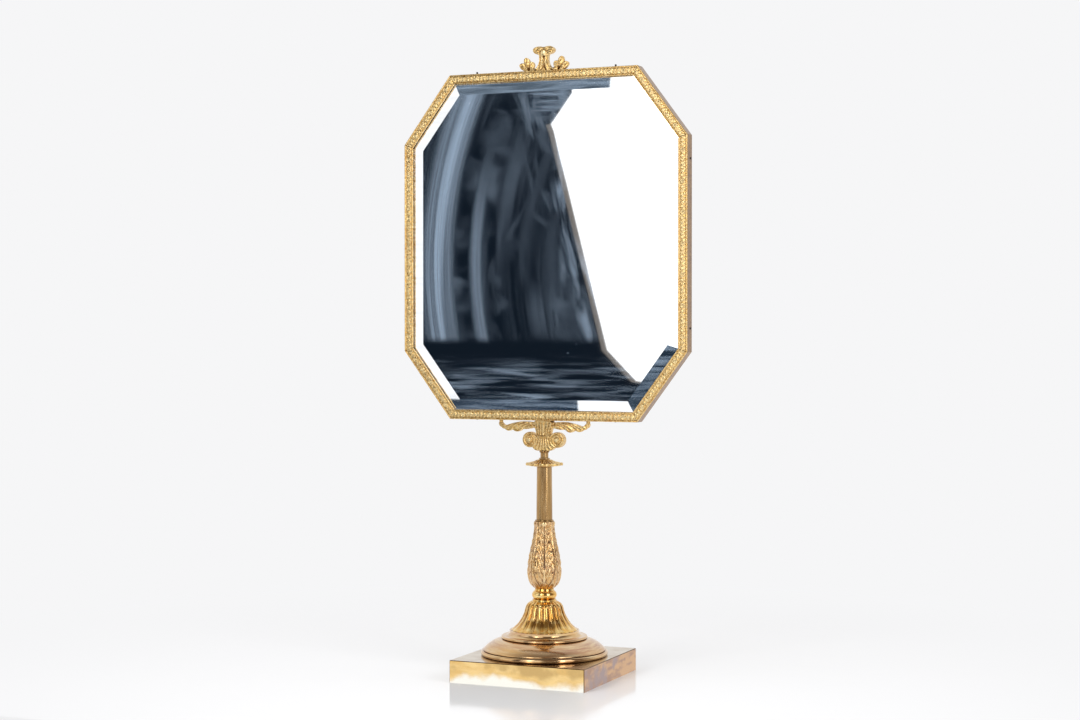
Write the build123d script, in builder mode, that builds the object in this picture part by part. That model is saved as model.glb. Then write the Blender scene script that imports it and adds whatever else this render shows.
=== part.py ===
from build123d import *
import math
import os

# A gilt-brass dressing-table mirror on a turned pedestal. All sizes are in millimetres.
# +Z is up, the glass faces -Y, and the origin is the centre of the plinth's underside.
# One rod draws the stand together, and the mirror turns on a pin in the column's top.

# Plinth: a square cast box, open underneath
plinth_side = 135.0
plinth_height = 21.0
plinth_wall = 4.0
plinth_bevel = 0.6

# Moulded foot: a turned, hollow dome, from its rim up to its neck
foot_radius = 60.2
foot_rim_height = 4.4
foot_rim_bulge = 1.2
foot_bead_step = 1.8
foot_bead_height = 1.8
foot_bead_bulge = 0.6
foot_dome_rise = 9.4
foot_dome_bulge = 1.7
foot_ring_radius = 39.8
foot_ring_height = 2.6
foot_ring_bulge = 1.1
foot_ledge = 2.4
foot_cove_rise = 3.2
foot_cove_depth = 0.9
foot_neck_radius = 33.0
foot_neck_height = 2.0
foot_wall = 3.0
foot_hub_radius = 12.0

# Fluted bell, with a plain ring on its crown
bell_height = 27.1
bell_foot_radius = 31.8
bell_flare_radius = 25.2
bell_flare_rise = 6.0
bell_waist_radius = 19.9
bell_shoulder_radius = 17.0
bell_shoulder_drop = 3.5
bell_crown_radius = 12.6
bell_lobes = 20
bell_lobe_depth = 1.3
bell_ring_radius = 11.2
bell_ring_height = 2.0

# Polished knop
knop_height = 10.0
knop_foot_radius = 9.4
knop_bulge = 2.4
knop_neck_radius = 8.8
knop_neck_height = 2.0

# Leaf-cast baluster
baluster_height = 63.5
baluster_foot_radius = 9.0
baluster_turn_radius = 13.5
baluster_turn_rise = 5.2
baluster_belly_radius = 15.9
baluster_belly_rise = 17.2
baluster_waist_radius = 11.2
baluster_waist_drop = 17.8
baluster_lip_radius = 9.7
baluster_leaves = 8
leaf_valley_depth = 0.9

# Column: a tapered tube standing in a socket in the baluster
column_height = 51.5
column_foot_radius = 7.7
column_top_radius = 7.2
column_ring_radius = 8.5
column_ring_height = 1.6
column_spigot_radius = 6.9
column_spigot_length = 6.0

# Leaf collar on the column's top
collar_height = 7.3
collar_radius = 17.7
collar_seat_radius = 8.6
collar_crown_radius = 5.4
collar_edge_thickness = 2.2
collar_edge_drop = 1.4
collar_petals = 8
collar_petal_depth = 2.4
collar_under_curve = 0.6
collar_edge_curve = 0.5
collar_top_curve = 0.8

# Swivel: a pin turning in a bush that the tie rod draws down
bush_radius = 4.2
bush_length = 38.0
bush_flange_radius = 5.2
bush_flange_height = 1.2
journal_radius = 2.5
journal_length = 22.0
running_clearance = 0.05
thrust_clearance = 0.1
pin_neck_radius = 3.8
pin_neck_height = 4.8
pin_bead_radius = 4.8
pin_bead_height = 2.0
pin_tail_radius = 1.9
pin_tail_length = 20.0

# Tie rod, washer and nut
rod_radius = 3.0
rod_end_below_nut = 1.5
rod_thread_depth = 12.0
washer_radius = 14.0
washer_thickness = 2.0
nut_across_flats = 10.0
nut_height = 5.0

# Fits inside one body
bore_clearance = 0.2
thread_clearance = 0.05
socket_clearance = 0.1

# Volute capital
capital_height = 14.2
capital_thickness = 6.4
capital_waist_width = 15.0
capital_skirt_width = 22.6
capital_skirt_height = 3.6
capital_foot_width = 11.0
capital_flank_curve = 0.8
capital_skirt_curve = 1.0
capital_band_height = 2.4
capital_band_thickness = 7.8
volute_radius = 7.4
volute_spacing = 27.6
volute_rise = 10.3
volute_thickness = 6.4
volute_relief = 0.7
volute_ridge = 1.3
volute_half_turns = 4
volute_eye_radius = 2.0

# Winged bracket between the capital and the frame
bracket_height = 14.4
palmette_waist_width = 14.4
palmette_flare_width = 20.8
palmette_flare_height = 5.2
palmette_waist_thickness = 6.8
palmette_top_thickness = 9.6
palmette_flank_curve = 1.0
palmette_roll_curve = 0.9
palmette_back_curve = 0.8
wing_reach = 44.6
wing_root_thickness = 5.6
wing_tip_thickness = 3.8
wing_top_gap = 1.2
wing_root_drop = 1.8
wing_root_reach = 8.9
wing_crown_reach = 22.3
wing_neck_setback = 6.2
wing_valley_setbacks = (4.5, 12.5, 22.3)
wing_tip_setback = 1.1
wing_neck_drop = 2.4
wing_neck_curve = 0.8
wing_tip_drop = 4.4
wing_leaf_depth = 5.8
wing_root_depth = 4.0
wing_tip_curve = 1.0
wing_outer_lobe = 0.6
wing_middle_lobe = 2.0
wing_inner_lobe = 2.6
wing_root_curve = 0.8
wing_side_curve = 0.5
wing_crown_curve = 0.5
stud_radius = 1.9
stud_height = 2.6
stud_shank_radius = 1.0
stud_shank_length = 2.0

# Octagonal frame, measured at the gilt strips' inner edges
opening_width = 270.9
opening_height = 311.8
corner_cut_across = 44.2
corner_cut_down = 59.2
strip_width = 9.0
strip_thickness = 1.2
strip_bead_width = 1.5
strip_bead_height = 0.9
strip_field_height = 0.4
strip_field_margin = 0.5
strip_bead_round = 0.6

# Rim: a brass band folded round the octagon, with a front flange under the strips
rim_depth = 11.5
rim_wall = 2.0
rim_flange_width = 8.0
rim_flange_thickness = 1.0
rim_front = -5.0

# Bevelled looking-glass, card and back board
glass_thickness = 5.0
glass_bevel_width = 17.0
glass_bevel_drop = 2.1
glass_clearance = 0.4
glass_seat_gap = 0.1
card_thickness = 0.8
board_thickness = 4.0
board_clearance = 0.3

# Pins that hold the board, through the rim
board_pin_radius = 0.9
board_pin_length = 8.0
board_pin_proud = 0.7
board_pins_across = 142.0
board_pins_down = 156.0

# Crest
crest_height = 23.4
crest_width = 49.6
crest_head_width = 21.2
crest_head_dip = 0.8
crest_lobe_width = 11.6
crest_lobe_height = 7.8
crest_stem_height = 15.0
crest_stem_width = 9.8
crest_stem_foot_width = 23.0
crest_stem_curve = 2.8
crest_thickness = 4.8
crest_head_thickness = 6.6
crest_side_curve = 0.8
crest_roll_curve = 1.0
crest_foot_width = 36.0
crest_foot_height = 3.0
crest_leaf_lobe_width = 6.4
crest_leaf_leans = (-26, 17, 60)
crest_leaf_reaches = (8.4, 12.2, 11.2)

# Countersunk screws that hold the bracket and the crest to the rim
screw_radius = 1.1
screw_length = 6.5
screw_head_radius = 2.2
screw_head_height = 1.1
screw_clearance = 0.1
bracket_screw_spacing = 11.0
crest_screw_spacing = 12.0

# Heights of the stack, from the plinth's underside up
foot_z = plinth_height
foot_dome_z = foot_z + foot_rim_height + foot_bead_height
foot_ring_z = foot_dome_z + foot_dome_rise
foot_ledge_z = foot_ring_z + foot_ring_height
foot_neck_z = foot_ledge_z + foot_cove_rise
bell_z = foot_neck_z + foot_neck_height
bell_ring_z = bell_z + bell_height
knop_z = bell_ring_z + bell_ring_height
baluster_z = knop_z + knop_height
column_z = baluster_z + baluster_height
collar_z = column_z + column_height
flange_z = collar_z + collar_height
bush_top_z = flange_z + bush_flange_height
pin_neck_z = bush_top_z + thrust_clearance
capital_z = pin_neck_z + pin_neck_height + pin_bead_height
bracket_z = capital_z + capital_height
frame_bottom_z = bracket_z + bracket_height
frame_height = opening_height + 2 * strip_width
frame_top_z = frame_bottom_z + frame_height
frame_centre_z = frame_bottom_z + frame_height / 2
bracket_screw_heads = (0, 0, frame_bottom_z + rim_wall)
crest_screw_heads = (0, 0, frame_top_z - rim_wall)

rod_hole_radius = rod_radius + bore_clearance
washer_z = plinth_height - plinth_wall - washer_thickness
nut_z = washer_z - nut_height
rod_bottom_z = nut_z - rod_end_below_nut
bush_bottom_z = bush_top_z - bush_length
column_bore_radius = bush_radius + socket_clearance


def arc_point(radius, angle):
    """A point at this distance from the origin, at this angle in degrees."""
    return (radius * math.cos(math.radians(angle)), radius * math.sin(math.radians(angle)))


def scalloped_face(height, peak_radius, depth, lobes):
    """A level face edged with one outward arc for each lobe."""
    step = 360 / lobes
    with BuildSketch(Plane.XY.offset(height)) as face:
        with BuildLine():
            for i in range(lobes):
                ThreePointArc(
                    arc_point(peak_radius - depth, i * step),
                    arc_point(peak_radius, (i + 0.5) * step),
                    arc_point(peak_radius - depth, (i + 1) * step),
                )
        make_face()
    return face.sketch


def octagon_corners(inset):
    """The frame's eight corners, clockwise from the top right, inset from the opening's edge."""
    half_width = opening_width / 2 - inset
    half_height = opening_height / 2 - inset
    # A corner's cut shrinks as its two straight sides and its slope all move inwards
    slope = math.hypot(corner_cut_across, corner_cut_down)
    cut_depth = corner_cut_across * corner_cut_down / slope
    shrink = inset * ((corner_cut_across + corner_cut_down) / slope - 1)
    across = corner_cut_across * (1 - shrink / cut_depth)
    down = corner_cut_down * (1 - shrink / cut_depth)
    right = [
        (half_width - across, half_height),
        (half_width, half_height - down),
        (half_width, down - half_height),
        (half_width - across, -half_height),
    ]
    left = [(-x, -z) for x, z in right]
    return right + left


def front_plane(y):
    """An upright plane through the frame's centre, facing -Y."""
    return Plane(origin=(0, y, frame_centre_z), x_dir=(1, 0, 0), z_dir=(0, -1, 0))


def octagon_face(y, inset):
    """The frame's eight-sided outline on an upright plane."""
    with BuildSketch(front_plane(y)) as face:
        with BuildLine():
            Polyline(*octagon_corners(inset), close=True)
        make_face()
    return face.sketch


def ring_face(y, outer_inset, inner_inset):
    """A mitred ring between two of the frame's outlines."""
    with BuildSketch(front_plane(y)) as face:
        with BuildLine():
            Polyline(*octagon_corners(outer_inset), close=True)
        make_face()
        with BuildLine():
            Polyline(*octagon_corners(inner_inset), close=True)
        make_face(mode=Mode.SUBTRACT)
    return face.sketch


def countersunk_pair(centre, spacing, upward, room=0.0, mode=Mode.ADD):
    """Two screws side by side along X with their flat heads at the centre's height."""
    turn = 0 if upward else 180
    with Locations(centre):
        with GridLocations(spacing, 0, 2, 1):
            Cone(
                screw_head_radius + room,
                screw_radius + room,
                screw_head_height,
                rotation=(turn, 0, 0),
                align=(Align.CENTER, Align.CENTER, Align.MIN),
                mode=mode,
            )
            Cylinder(
                screw_radius + room,
                screw_length + room,
                rotation=(turn, 0, 0),
                align=(Align.CENTER, Align.CENTER, Align.MIN),
                mode=mode,
            )


def board_pin_shafts(radius, proud, mode=Mode.ADD):
    """Two pins into each of the frame's four long sides, standing proud of the rim's outer face."""
    for side_plane, spacing in board_pin_rows:
        with Locations(side_plane.offset(proud)):
            with GridLocations(spacing, 0, 2, 1):
                Cylinder(
                    radius,
                    board_pin_length + proud,
                    align=(Align.CENTER, Align.CENTER, Align.MAX),
                    mode=mode,
                )


# Plinth: a heavy cast tray turned upside down, bored for the rod
with BuildPart() as plinth:
    with BuildSketch():
        Rectangle(plinth_side, plinth_side)
    extrude(amount=plinth_height)
    chamfer(plinth.edges().group_by(Axis.Z)[-1], length=plinth_bevel)
    chamfer(plinth.edges().filter_by(Axis.Z), length=plinth_bevel)
    with BuildSketch():
        Rectangle(plinth_side - 2 * plinth_wall, plinth_side - 2 * plinth_wall)
    extrude(amount=plinth_height - plinth_wall, mode=Mode.SUBTRACT)
    with Locations((0, 0, plinth_height)):
        Hole(rod_hole_radius, depth=plinth_wall)

# Foot: rim, fine bead, swelling dome, ring, cove and neck, turned as one shell
foot_rim_radius = foot_radius - foot_rim_bulge
foot_dome_radius = foot_rim_radius - foot_bead_step
foot_ledge_radius = foot_ring_radius - foot_ledge
with BuildPart() as foot_dome:
    with BuildSketch(Plane.XZ):
        with BuildLine():
            Line((rod_hole_radius, foot_z), (foot_rim_radius, foot_z))
            SagittaArc(
                (foot_rim_radius, foot_z),
                (foot_rim_radius, foot_z + foot_rim_height),
                -foot_rim_bulge,
            )
            Line(
                (foot_rim_radius, foot_z + foot_rim_height),
                (foot_dome_radius, foot_z + foot_rim_height),
            )
            SagittaArc(
                (foot_dome_radius, foot_z + foot_rim_height),
                (foot_dome_radius, foot_dome_z),
                -foot_bead_bulge,
            )
            SagittaArc(
                (foot_dome_radius, foot_dome_z),
                (foot_ring_radius, foot_ring_z),
                -foot_dome_bulge,
            )
            SagittaArc(
                (foot_ring_radius, foot_ring_z),
                (foot_ring_radius, foot_ledge_z),
                -foot_ring_bulge,
            )
            Line((foot_ring_radius, foot_ledge_z), (foot_ledge_radius, foot_ledge_z))
            SagittaArc(
                (foot_ledge_radius, foot_ledge_z),
                (foot_neck_radius, foot_neck_z),
                foot_cove_depth,
            )
            Line((foot_neck_radius, foot_neck_z), (foot_neck_radius, bell_z))
            Line((foot_neck_radius, bell_z), (rod_hole_radius, bell_z))
            Line((rod_hole_radius, bell_z), (rod_hole_radius, foot_z))
        make_face()
    revolve(axis=Axis.Z)
    with BuildSketch(Plane.XZ):
        with BuildLine():
            hollow_start = (foot_dome_radius - foot_wall, foot_z)
            hollow_shoulder = (foot_dome_radius - foot_wall, foot_dome_z - foot_wall)
            hollow_ring = (foot_ring_radius - foot_wall, foot_ring_z - foot_wall / 2)
            hollow_crown = (foot_hub_radius, foot_ledge_z - foot_wall / 2)
            Line((foot_hub_radius, foot_z), hollow_start)
            Line(hollow_start, hollow_shoulder)
            Line(hollow_shoulder, hollow_ring)
            Line(hollow_ring, hollow_crown)
            Line(hollow_crown, (foot_hub_radius, foot_z))
        make_face()
    revolve(axis=Axis.Z, mode=Mode.SUBTRACT)

# Bell: swelling flutes that spread towards the foot, under a plain ring
bell_flare_z = bell_z + bell_flare_rise
bell_shoulder_z = bell_ring_z - bell_shoulder_drop
bell_waist_z = (bell_flare_z + bell_shoulder_z) / 2
bell_sections = [
    scalloped_face(bell_z, bell_foot_radius, bell_lobe_depth, bell_lobes),
    scalloped_face(bell_flare_z, bell_flare_radius, bell_lobe_depth, bell_lobes),
    scalloped_face(bell_waist_z, bell_waist_radius, bell_lobe_depth, bell_lobes),
    scalloped_face(bell_shoulder_z, bell_shoulder_radius, bell_lobe_depth, bell_lobes),
    scalloped_face(bell_ring_z, bell_crown_radius, bell_lobe_depth / 2, bell_lobes),
]
with BuildPart() as fluted_bell:
    loft(bell_sections)
    with BuildSketch(Plane.XY.offset(bell_ring_z)):
        Circle(bell_ring_radius)
    extrude(amount=bell_ring_height)
    with Locations((0, 0, knop_z)):
        Hole(rod_hole_radius)

# Knop: a bright turned ring with a short neck
with BuildPart() as knop:
    with BuildSketch(Plane.XZ):
        with BuildLine():
            knop_shoulder_z = baluster_z - knop_neck_height
            Line((rod_hole_radius, knop_z), (knop_foot_radius, knop_z))
            SagittaArc(
                (knop_foot_radius, knop_z),
                (knop_foot_radius, knop_shoulder_z),
                -knop_bulge,
            )
            Line((knop_foot_radius, knop_shoulder_z), (knop_neck_radius, baluster_z))
            Line((knop_neck_radius, baluster_z), (rod_hole_radius, baluster_z))
            Line((rod_hole_radius, baluster_z), (rod_hole_radius, knop_z))
        make_face()
    revolve(axis=Axis.Z)

# Baluster: a slender vase wrapped in upright leaves
baluster_belly_z = baluster_z + baluster_belly_rise
baluster_waist_z = column_z - baluster_waist_drop
baluster_flank_z = (baluster_belly_z + baluster_waist_z) / 2
baluster_flank_radius = (2 * baluster_belly_radius + baluster_waist_radius) / 3
baluster_profile = [
    (baluster_z, baluster_foot_radius),
    (baluster_z + baluster_turn_rise, baluster_turn_radius),
    (baluster_belly_z, baluster_belly_radius),
    (baluster_flank_z, baluster_flank_radius),
    (baluster_waist_z, baluster_waist_radius),
    (column_z, baluster_lip_radius),
]
baluster_sections = []
for section_z, radius in baluster_profile:
    baluster_sections.append(
        scalloped_face(section_z, radius, leaf_valley_depth, baluster_leaves)
    )
with BuildPart() as leaf_baluster:
    loft(baluster_sections)
    with Locations((0, 0, column_z)):
        CounterBoreHole(
            rod_hole_radius,
            column_spigot_radius + socket_clearance,
            column_spigot_length + socket_clearance,
        )

# Column: a tapered tube with a bright ring at its foot
with BuildPart() as column_tube:
    with BuildSketch(Plane.XZ):
        with BuildLine():
            column_ring_z = column_z + column_ring_height
            column_bottom_z = column_z - column_spigot_length
            Polyline(
                (column_bore_radius, column_bottom_z),
                (column_spigot_radius, column_bottom_z),
                (column_spigot_radius, column_z),
                (column_ring_radius, column_z),
            )
            SagittaArc(
                (column_ring_radius, column_z),
                (column_ring_radius, column_ring_z),
                -column_ring_height / 4,
            )
            Polyline(
                (column_ring_radius, column_ring_z),
                (column_foot_radius, column_ring_z),
                (column_top_radius, collar_z),
                (column_bore_radius, collar_z),
                (column_bore_radius, column_bottom_z),
            )
        make_face()
    revolve(axis=Axis.Z)

# Collar: eight drooping petals round a raised crown
with BuildPart() as leaf_collar:
    with BuildSketch(Plane.XZ):
        with BuildLine():
            edge_z = collar_z + collar_edge_drop
            edge_top_z = edge_z + collar_edge_thickness
            Line((column_bore_radius, collar_z), (collar_seat_radius, collar_z))
            SagittaArc((collar_seat_radius, collar_z), (collar_radius, edge_z), collar_under_curve)
            SagittaArc((collar_radius, edge_z), (collar_radius, edge_top_z), -collar_edge_curve)
            SagittaArc(
                (collar_radius, edge_top_z), (collar_crown_radius, flange_z), collar_top_curve
            )
            Line((collar_crown_radius, flange_z), (column_bore_radius, flange_z))
            Line((column_bore_radius, flange_z), (column_bore_radius, collar_z))
        make_face()
    revolve(axis=Axis.Z)
    petals = scalloped_face(collar_z, collar_radius, collar_petal_depth, collar_petals)
    extrude(petals, amount=collar_height, mode=Mode.INTERSECT)

# Bush: bored from above for the swivel pin and from below for the rod's thread
with BuildPart() as socket_bush:
    with BuildSketch(Plane.XY.offset(bush_bottom_z)):
        Circle(bush_radius)
    extrude(amount=bush_length)
    with BuildSketch(Plane.XY.offset(flange_z)):
        Circle(bush_flange_radius)
    extrude(amount=bush_flange_height)
    with BuildSketch(Plane.XY.offset(bush_top_z)):
        Circle(journal_radius + running_clearance)
    extrude(amount=-(journal_length + bore_clearance), mode=Mode.SUBTRACT)
    with BuildSketch(Plane.XY.offset(bush_bottom_z)):
        Circle(rod_radius + thread_clearance)
    extrude(amount=rod_thread_depth + bore_clearance, mode=Mode.SUBTRACT)

# Tie rod with its washer and nut under the plinth's top
with BuildPart() as tie_rod:
    with BuildSketch(Plane.XY.offset(rod_bottom_z)):
        Circle(rod_radius)
    extrude(amount=bush_bottom_z + rod_thread_depth - rod_bottom_z)
with BuildPart() as tie_washer:
    with BuildSketch(Plane.XY.offset(washer_z)):
        Circle(washer_radius)
        Circle(rod_hole_radius, mode=Mode.SUBTRACT)
    extrude(amount=washer_thickness)
with BuildPart() as tie_nut:
    with BuildSketch(Plane.XY.offset(nut_z)):
        RegularPolygon(nut_across_flats / 2, 6, major_radius=False)
        Circle(rod_radius + thread_clearance, mode=Mode.SUBTRACT)
    extrude(amount=nut_height)

# Swivel pin: journal below, neck and bead in view, tail up into the capital and bracket
with BuildPart() as swivel_pin:
    with BuildSketch(Plane.XZ):
        with BuildLine():
            journal_bottom_z = bush_top_z - journal_length
            bead_z = pin_neck_z + pin_neck_height
            Polyline(
                (0, journal_bottom_z),
                (journal_radius, journal_bottom_z),
                (journal_radius, pin_neck_z),
                (pin_neck_radius, pin_neck_z),
                (pin_neck_radius, bead_z),
            )
            SagittaArc(
                (pin_neck_radius, bead_z),
                (pin_neck_radius, capital_z),
                pin_neck_radius - pin_bead_radius,
            )
            Polyline(
                (pin_neck_radius, capital_z),
                (pin_tail_radius, capital_z),
                (pin_tail_radius, capital_z + pin_tail_length),
                (0, capital_z + pin_tail_length),
                (0, journal_bottom_z),
            )
        make_face()
    revolve(axis=Axis.Z)


def volute(side):
    """One scroll: a drum on the capital's side with a winding ridge on both faces."""
    drum_plane = Plane(
        origin=(side * volute_spacing / 2, 0, capital_z + volute_rise),
        x_dir=(side, 0, 0),
        z_dir=(0, -side, 0),
    )
    reach = volute_radius - volute_ridge / 2
    shrink = (reach - volute_eye_radius) / volute_half_turns
    with BuildPart() as scroll:
        with BuildSketch(drum_plane):
            Circle(volute_radius)
        extrude(amount=volute_thickness / 2, both=True)
        with BuildSketch(drum_plane):
            with BuildLine():
                # Half circles, each a step smaller, wind over the top and in to the eye
                start_x = -reach
                for i in range(volute_half_turns):
                    direction = 1 if i % 2 == 0 else -1
                    radius = reach - (i + 0.5) * shrink
                    end_x = start_x + direction * 2 * radius
                    crown = ((start_x + end_x) / 2, direction * radius)
                    ThreePointArc((start_x, 0), crown, (end_x, 0))
                    start_x = end_x
            trace(line_width=volute_ridge)
            Circle(volute_eye_radius)
        extrude(amount=volute_thickness / 2 + volute_relief, both=True)
    return scroll.part


right_volute = volute(1)
left_volute = volute(-1)

# Capital: a hanging leaf fan between two scrolls, under a flat band
with BuildPart() as volute_capital:
    with BuildSketch(Plane.XZ):
        with BuildLine():
            band_z = bracket_z - capital_band_height
            skirt_z = capital_z + capital_skirt_height
            right_waist = (capital_waist_width / 2, band_z)
            right_skirt = (capital_skirt_width / 2, skirt_z)
            right_foot = (capital_foot_width / 2, capital_z)
            left_foot = (-capital_foot_width / 2, capital_z)
            left_skirt = (-capital_skirt_width / 2, skirt_z)
            left_waist = (-capital_waist_width / 2, band_z)
            SagittaArc(right_waist, right_skirt, -capital_flank_curve)
            SagittaArc(right_skirt, right_foot, capital_skirt_curve)
            Line(right_foot, left_foot)
            SagittaArc(left_foot, left_skirt, capital_skirt_curve)
            SagittaArc(left_skirt, left_waist, -capital_flank_curve)
            Line(left_waist, right_waist)
        make_face()
    extrude(amount=capital_thickness / 2, both=True)
    add(right_volute)
    add(left_volute)
    with BuildSketch(Plane.XY.offset(band_z)):
        RectangleRounded(capital_waist_width, capital_band_thickness, capital_band_height)
    extrude(amount=capital_band_height)
    with BuildSketch(Plane.XY.offset(capital_z)):
        Circle(pin_tail_radius + thread_clearance)
    extrude(amount=capital_height, mode=Mode.SUBTRACT)

# Bracket: a flared palmette, and a leafy wing each side that reaches out under the frame
wing_top_z = frame_bottom_z - wing_top_gap
stud_seat_z = frame_bottom_z - stud_height
with BuildPart() as palmette:
    with BuildSketch(Plane.XZ):
        with BuildLine():
            flare_z = frame_bottom_z - palmette_flare_height
            waist_x = palmette_waist_width / 2
            flare_x = palmette_flare_width / 2
            Line((-waist_x, bracket_z), (waist_x, bracket_z))
            SagittaArc((waist_x, bracket_z), (flare_x, flare_z), palmette_flank_curve)
            SagittaArc((flare_x, flare_z), (waist_x, frame_bottom_z), -palmette_roll_curve)
            Line((waist_x, frame_bottom_z), (-waist_x, frame_bottom_z))
            SagittaArc((-waist_x, frame_bottom_z), (-flare_x, flare_z), -palmette_roll_curve)
            SagittaArc((-flare_x, flare_z), (-waist_x, bracket_z), palmette_flank_curve)
        make_face()
    extrude(amount=palmette_top_thickness / 2, both=True)
    with BuildSketch(Plane.YZ):
        with BuildLine():
            waist_y = palmette_waist_thickness / 2
            top_y = palmette_top_thickness / 2
            Line((-waist_y, bracket_z), (waist_y, bracket_z))
            SagittaArc((waist_y, bracket_z), (top_y, frame_bottom_z), palmette_back_curve)
            Line((top_y, frame_bottom_z), (-top_y, frame_bottom_z))
            SagittaArc((-top_y, frame_bottom_z), (-waist_y, bracket_z), palmette_back_curve)
        make_face()
    extrude(amount=palmette_flare_width, both=True, mode=Mode.INTERSECT)
with BuildPart() as wing_bracket:
    with BuildSketch(Plane.XZ):
        with BuildLine():
            tip_x = wing_reach + stud_radius
            leaf_z = stud_seat_z - wing_leaf_depth
            root_top = (0, wing_top_z - wing_root_drop)
            crown_top = (wing_crown_reach, wing_top_z)
            neck_top = (wing_reach - wing_neck_setback, stud_seat_z - wing_neck_drop)
            tip_top = (wing_reach - stud_radius, stud_seat_z)
            tip_low = (wing_reach - wing_tip_setback, stud_seat_z - wing_tip_drop)
            outer_valley, middle_valley, inner_valley = [
                (wing_reach - setback, leaf_z) for setback in wing_valley_setbacks
            ]
            root_low = (wing_root_reach, stud_seat_z - wing_root_depth)
            SagittaArc(root_top, crown_top, wing_crown_curve)
            SagittaArc(crown_top, neck_top, wing_crown_curve)
            SagittaArc(neck_top, tip_top, -wing_neck_curve)
            Line(tip_top, (tip_x, stud_seat_z))
            SagittaArc((tip_x, stud_seat_z), tip_low, wing_tip_curve)
            SagittaArc(tip_low, outer_valley, wing_outer_lobe)
            SagittaArc(outer_valley, middle_valley, wing_middle_lobe)
            SagittaArc(middle_valley, inner_valley, wing_inner_lobe)
            SagittaArc(inner_valley, root_low, wing_root_curve)
            Line(root_low, (0, root_low[1]))
            Line((0, root_low[1]), root_top)
        make_face()
    extrude(amount=wing_root_thickness / 2, both=True)
    with BuildSketch(Plane.XY.offset(bracket_z)):
        with BuildLine():
            tip_y = wing_tip_thickness / 2
            root_y = wing_root_thickness / 2
            Line((0, -root_y), (0, root_y))
            SagittaArc((0, root_y), (tip_x, tip_y), wing_side_curve)
            Line((tip_x, tip_y), (tip_x, -tip_y))
            SagittaArc((tip_x, -tip_y), (0, -root_y), wing_side_curve)
        make_face()
    extrude(amount=bracket_height, mode=Mode.INTERSECT)
    with Locations((wing_reach, 0, stud_seat_z)):
        Hole(stud_shank_radius + thread_clearance, depth=stud_shank_length + bore_clearance)
    mirror(about=Plane.YZ)
    add(palmette.part)
    with BuildSketch(Plane.XY.offset(bracket_z)):
        Circle(pin_tail_radius + thread_clearance)
    extrude(amount=pin_tail_length - capital_height + bore_clearance, mode=Mode.SUBTRACT)
    countersunk_pair(
        bracket_screw_heads, bracket_screw_spacing, False, screw_clearance, Mode.SUBTRACT
    )

# Studs: small turned feet between the wing tips and the rim
with BuildPart() as wing_studs:
    with Locations((0, 0, stud_seat_z)):
        with GridLocations(2 * wing_reach, 0, 2, 1):
            Cylinder(stud_radius, stud_height, align=(Align.CENTER, Align.CENTER, Align.MIN))
            Cylinder(
                stud_shank_radius,
                stud_shank_length,
                align=(Align.CENTER, Align.CENTER, Align.MAX),
            )

# Glass, card and board stand behind the flange, one behind the other
rim_inset = -strip_width
glass_inset = rim_inset + rim_wall + glass_clearance
board_inset = rim_inset + rim_wall + board_clearance
flange_inset = rim_inset + rim_flange_width
drop_at_flange = glass_bevel_drop * (1 - (flange_inset - glass_inset) / glass_bevel_width)
glass_front = rim_front + rim_flange_thickness + glass_seat_gap - drop_at_flange
glass_edge_front = glass_front + glass_bevel_drop
glass_back = glass_front + glass_thickness
card_back = glass_back + card_thickness
board_back = card_back + board_thickness

# The board's pins stand in its middle, two along each long side
board_middle = card_back + board_thickness / 2
rim_half_width = opening_width / 2 + strip_width
rim_right = Plane((rim_half_width, board_middle, frame_centre_z), x_dir=(0, 0, 1), z_dir=(1, 0, 0))
rim_left = Plane((-rim_half_width, board_middle, frame_centre_z), x_dir=(0, 0, 1), z_dir=(-1, 0, 0))
rim_top = Plane((0, board_middle, frame_top_z), x_dir=(1, 0, 0), z_dir=(0, 0, 1))
rim_bottom = Plane((0, board_middle, frame_bottom_z), x_dir=(1, 0, 0), z_dir=(0, 0, -1))
board_pin_rows = [
    (rim_top, board_pins_across),
    (rim_bottom, board_pins_across),
    (rim_right, board_pins_down),
    (rim_left, board_pins_down),
]

# Rim: an outer wall with a front flange, folded from one band
with BuildPart() as rim_band:
    extrude(ring_face(rim_front, rim_inset, rim_inset + rim_wall), amount=-rim_depth)
    extrude(ring_face(rim_front, rim_inset, flange_inset), amount=-rim_flange_thickness)
    board_pin_shafts(board_pin_radius + thread_clearance, board_pin_proud, Mode.SUBTRACT)
    countersunk_pair(
        bracket_screw_heads, bracket_screw_spacing, False, screw_clearance, Mode.SUBTRACT
    )
    countersunk_pair(crest_screw_heads, crest_screw_spacing, True, screw_clearance, Mode.SUBTRACT)

# Looking-glass: a thick plate with a broad ground bevel
with BuildPart() as mirror_glass:
    extrude(octagon_face(glass_back, glass_inset), amount=glass_thickness - glass_bevel_drop)
    bevel_foot = octagon_face(glass_edge_front, glass_inset)
    bevel_crown = octagon_face(glass_front, glass_inset + glass_bevel_width)
    loft([bevel_foot, bevel_crown], ruled=True)

# Card that keeps the board off the silvering, and the pinned back board
with BuildPart() as packing_card:
    extrude(octagon_face(card_back, board_inset), amount=card_thickness)
with BuildPart() as backing_board:
    extrude(octagon_face(board_back, board_inset), amount=board_thickness)
    board_pin_shafts(board_pin_radius + thread_clearance, board_pin_proud, Mode.SUBTRACT)

# Headless pins through the rim into the board's edge
with BuildPart() as rim_pins:
    board_pin_shafts(board_pin_radius, board_pin_proud)

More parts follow.
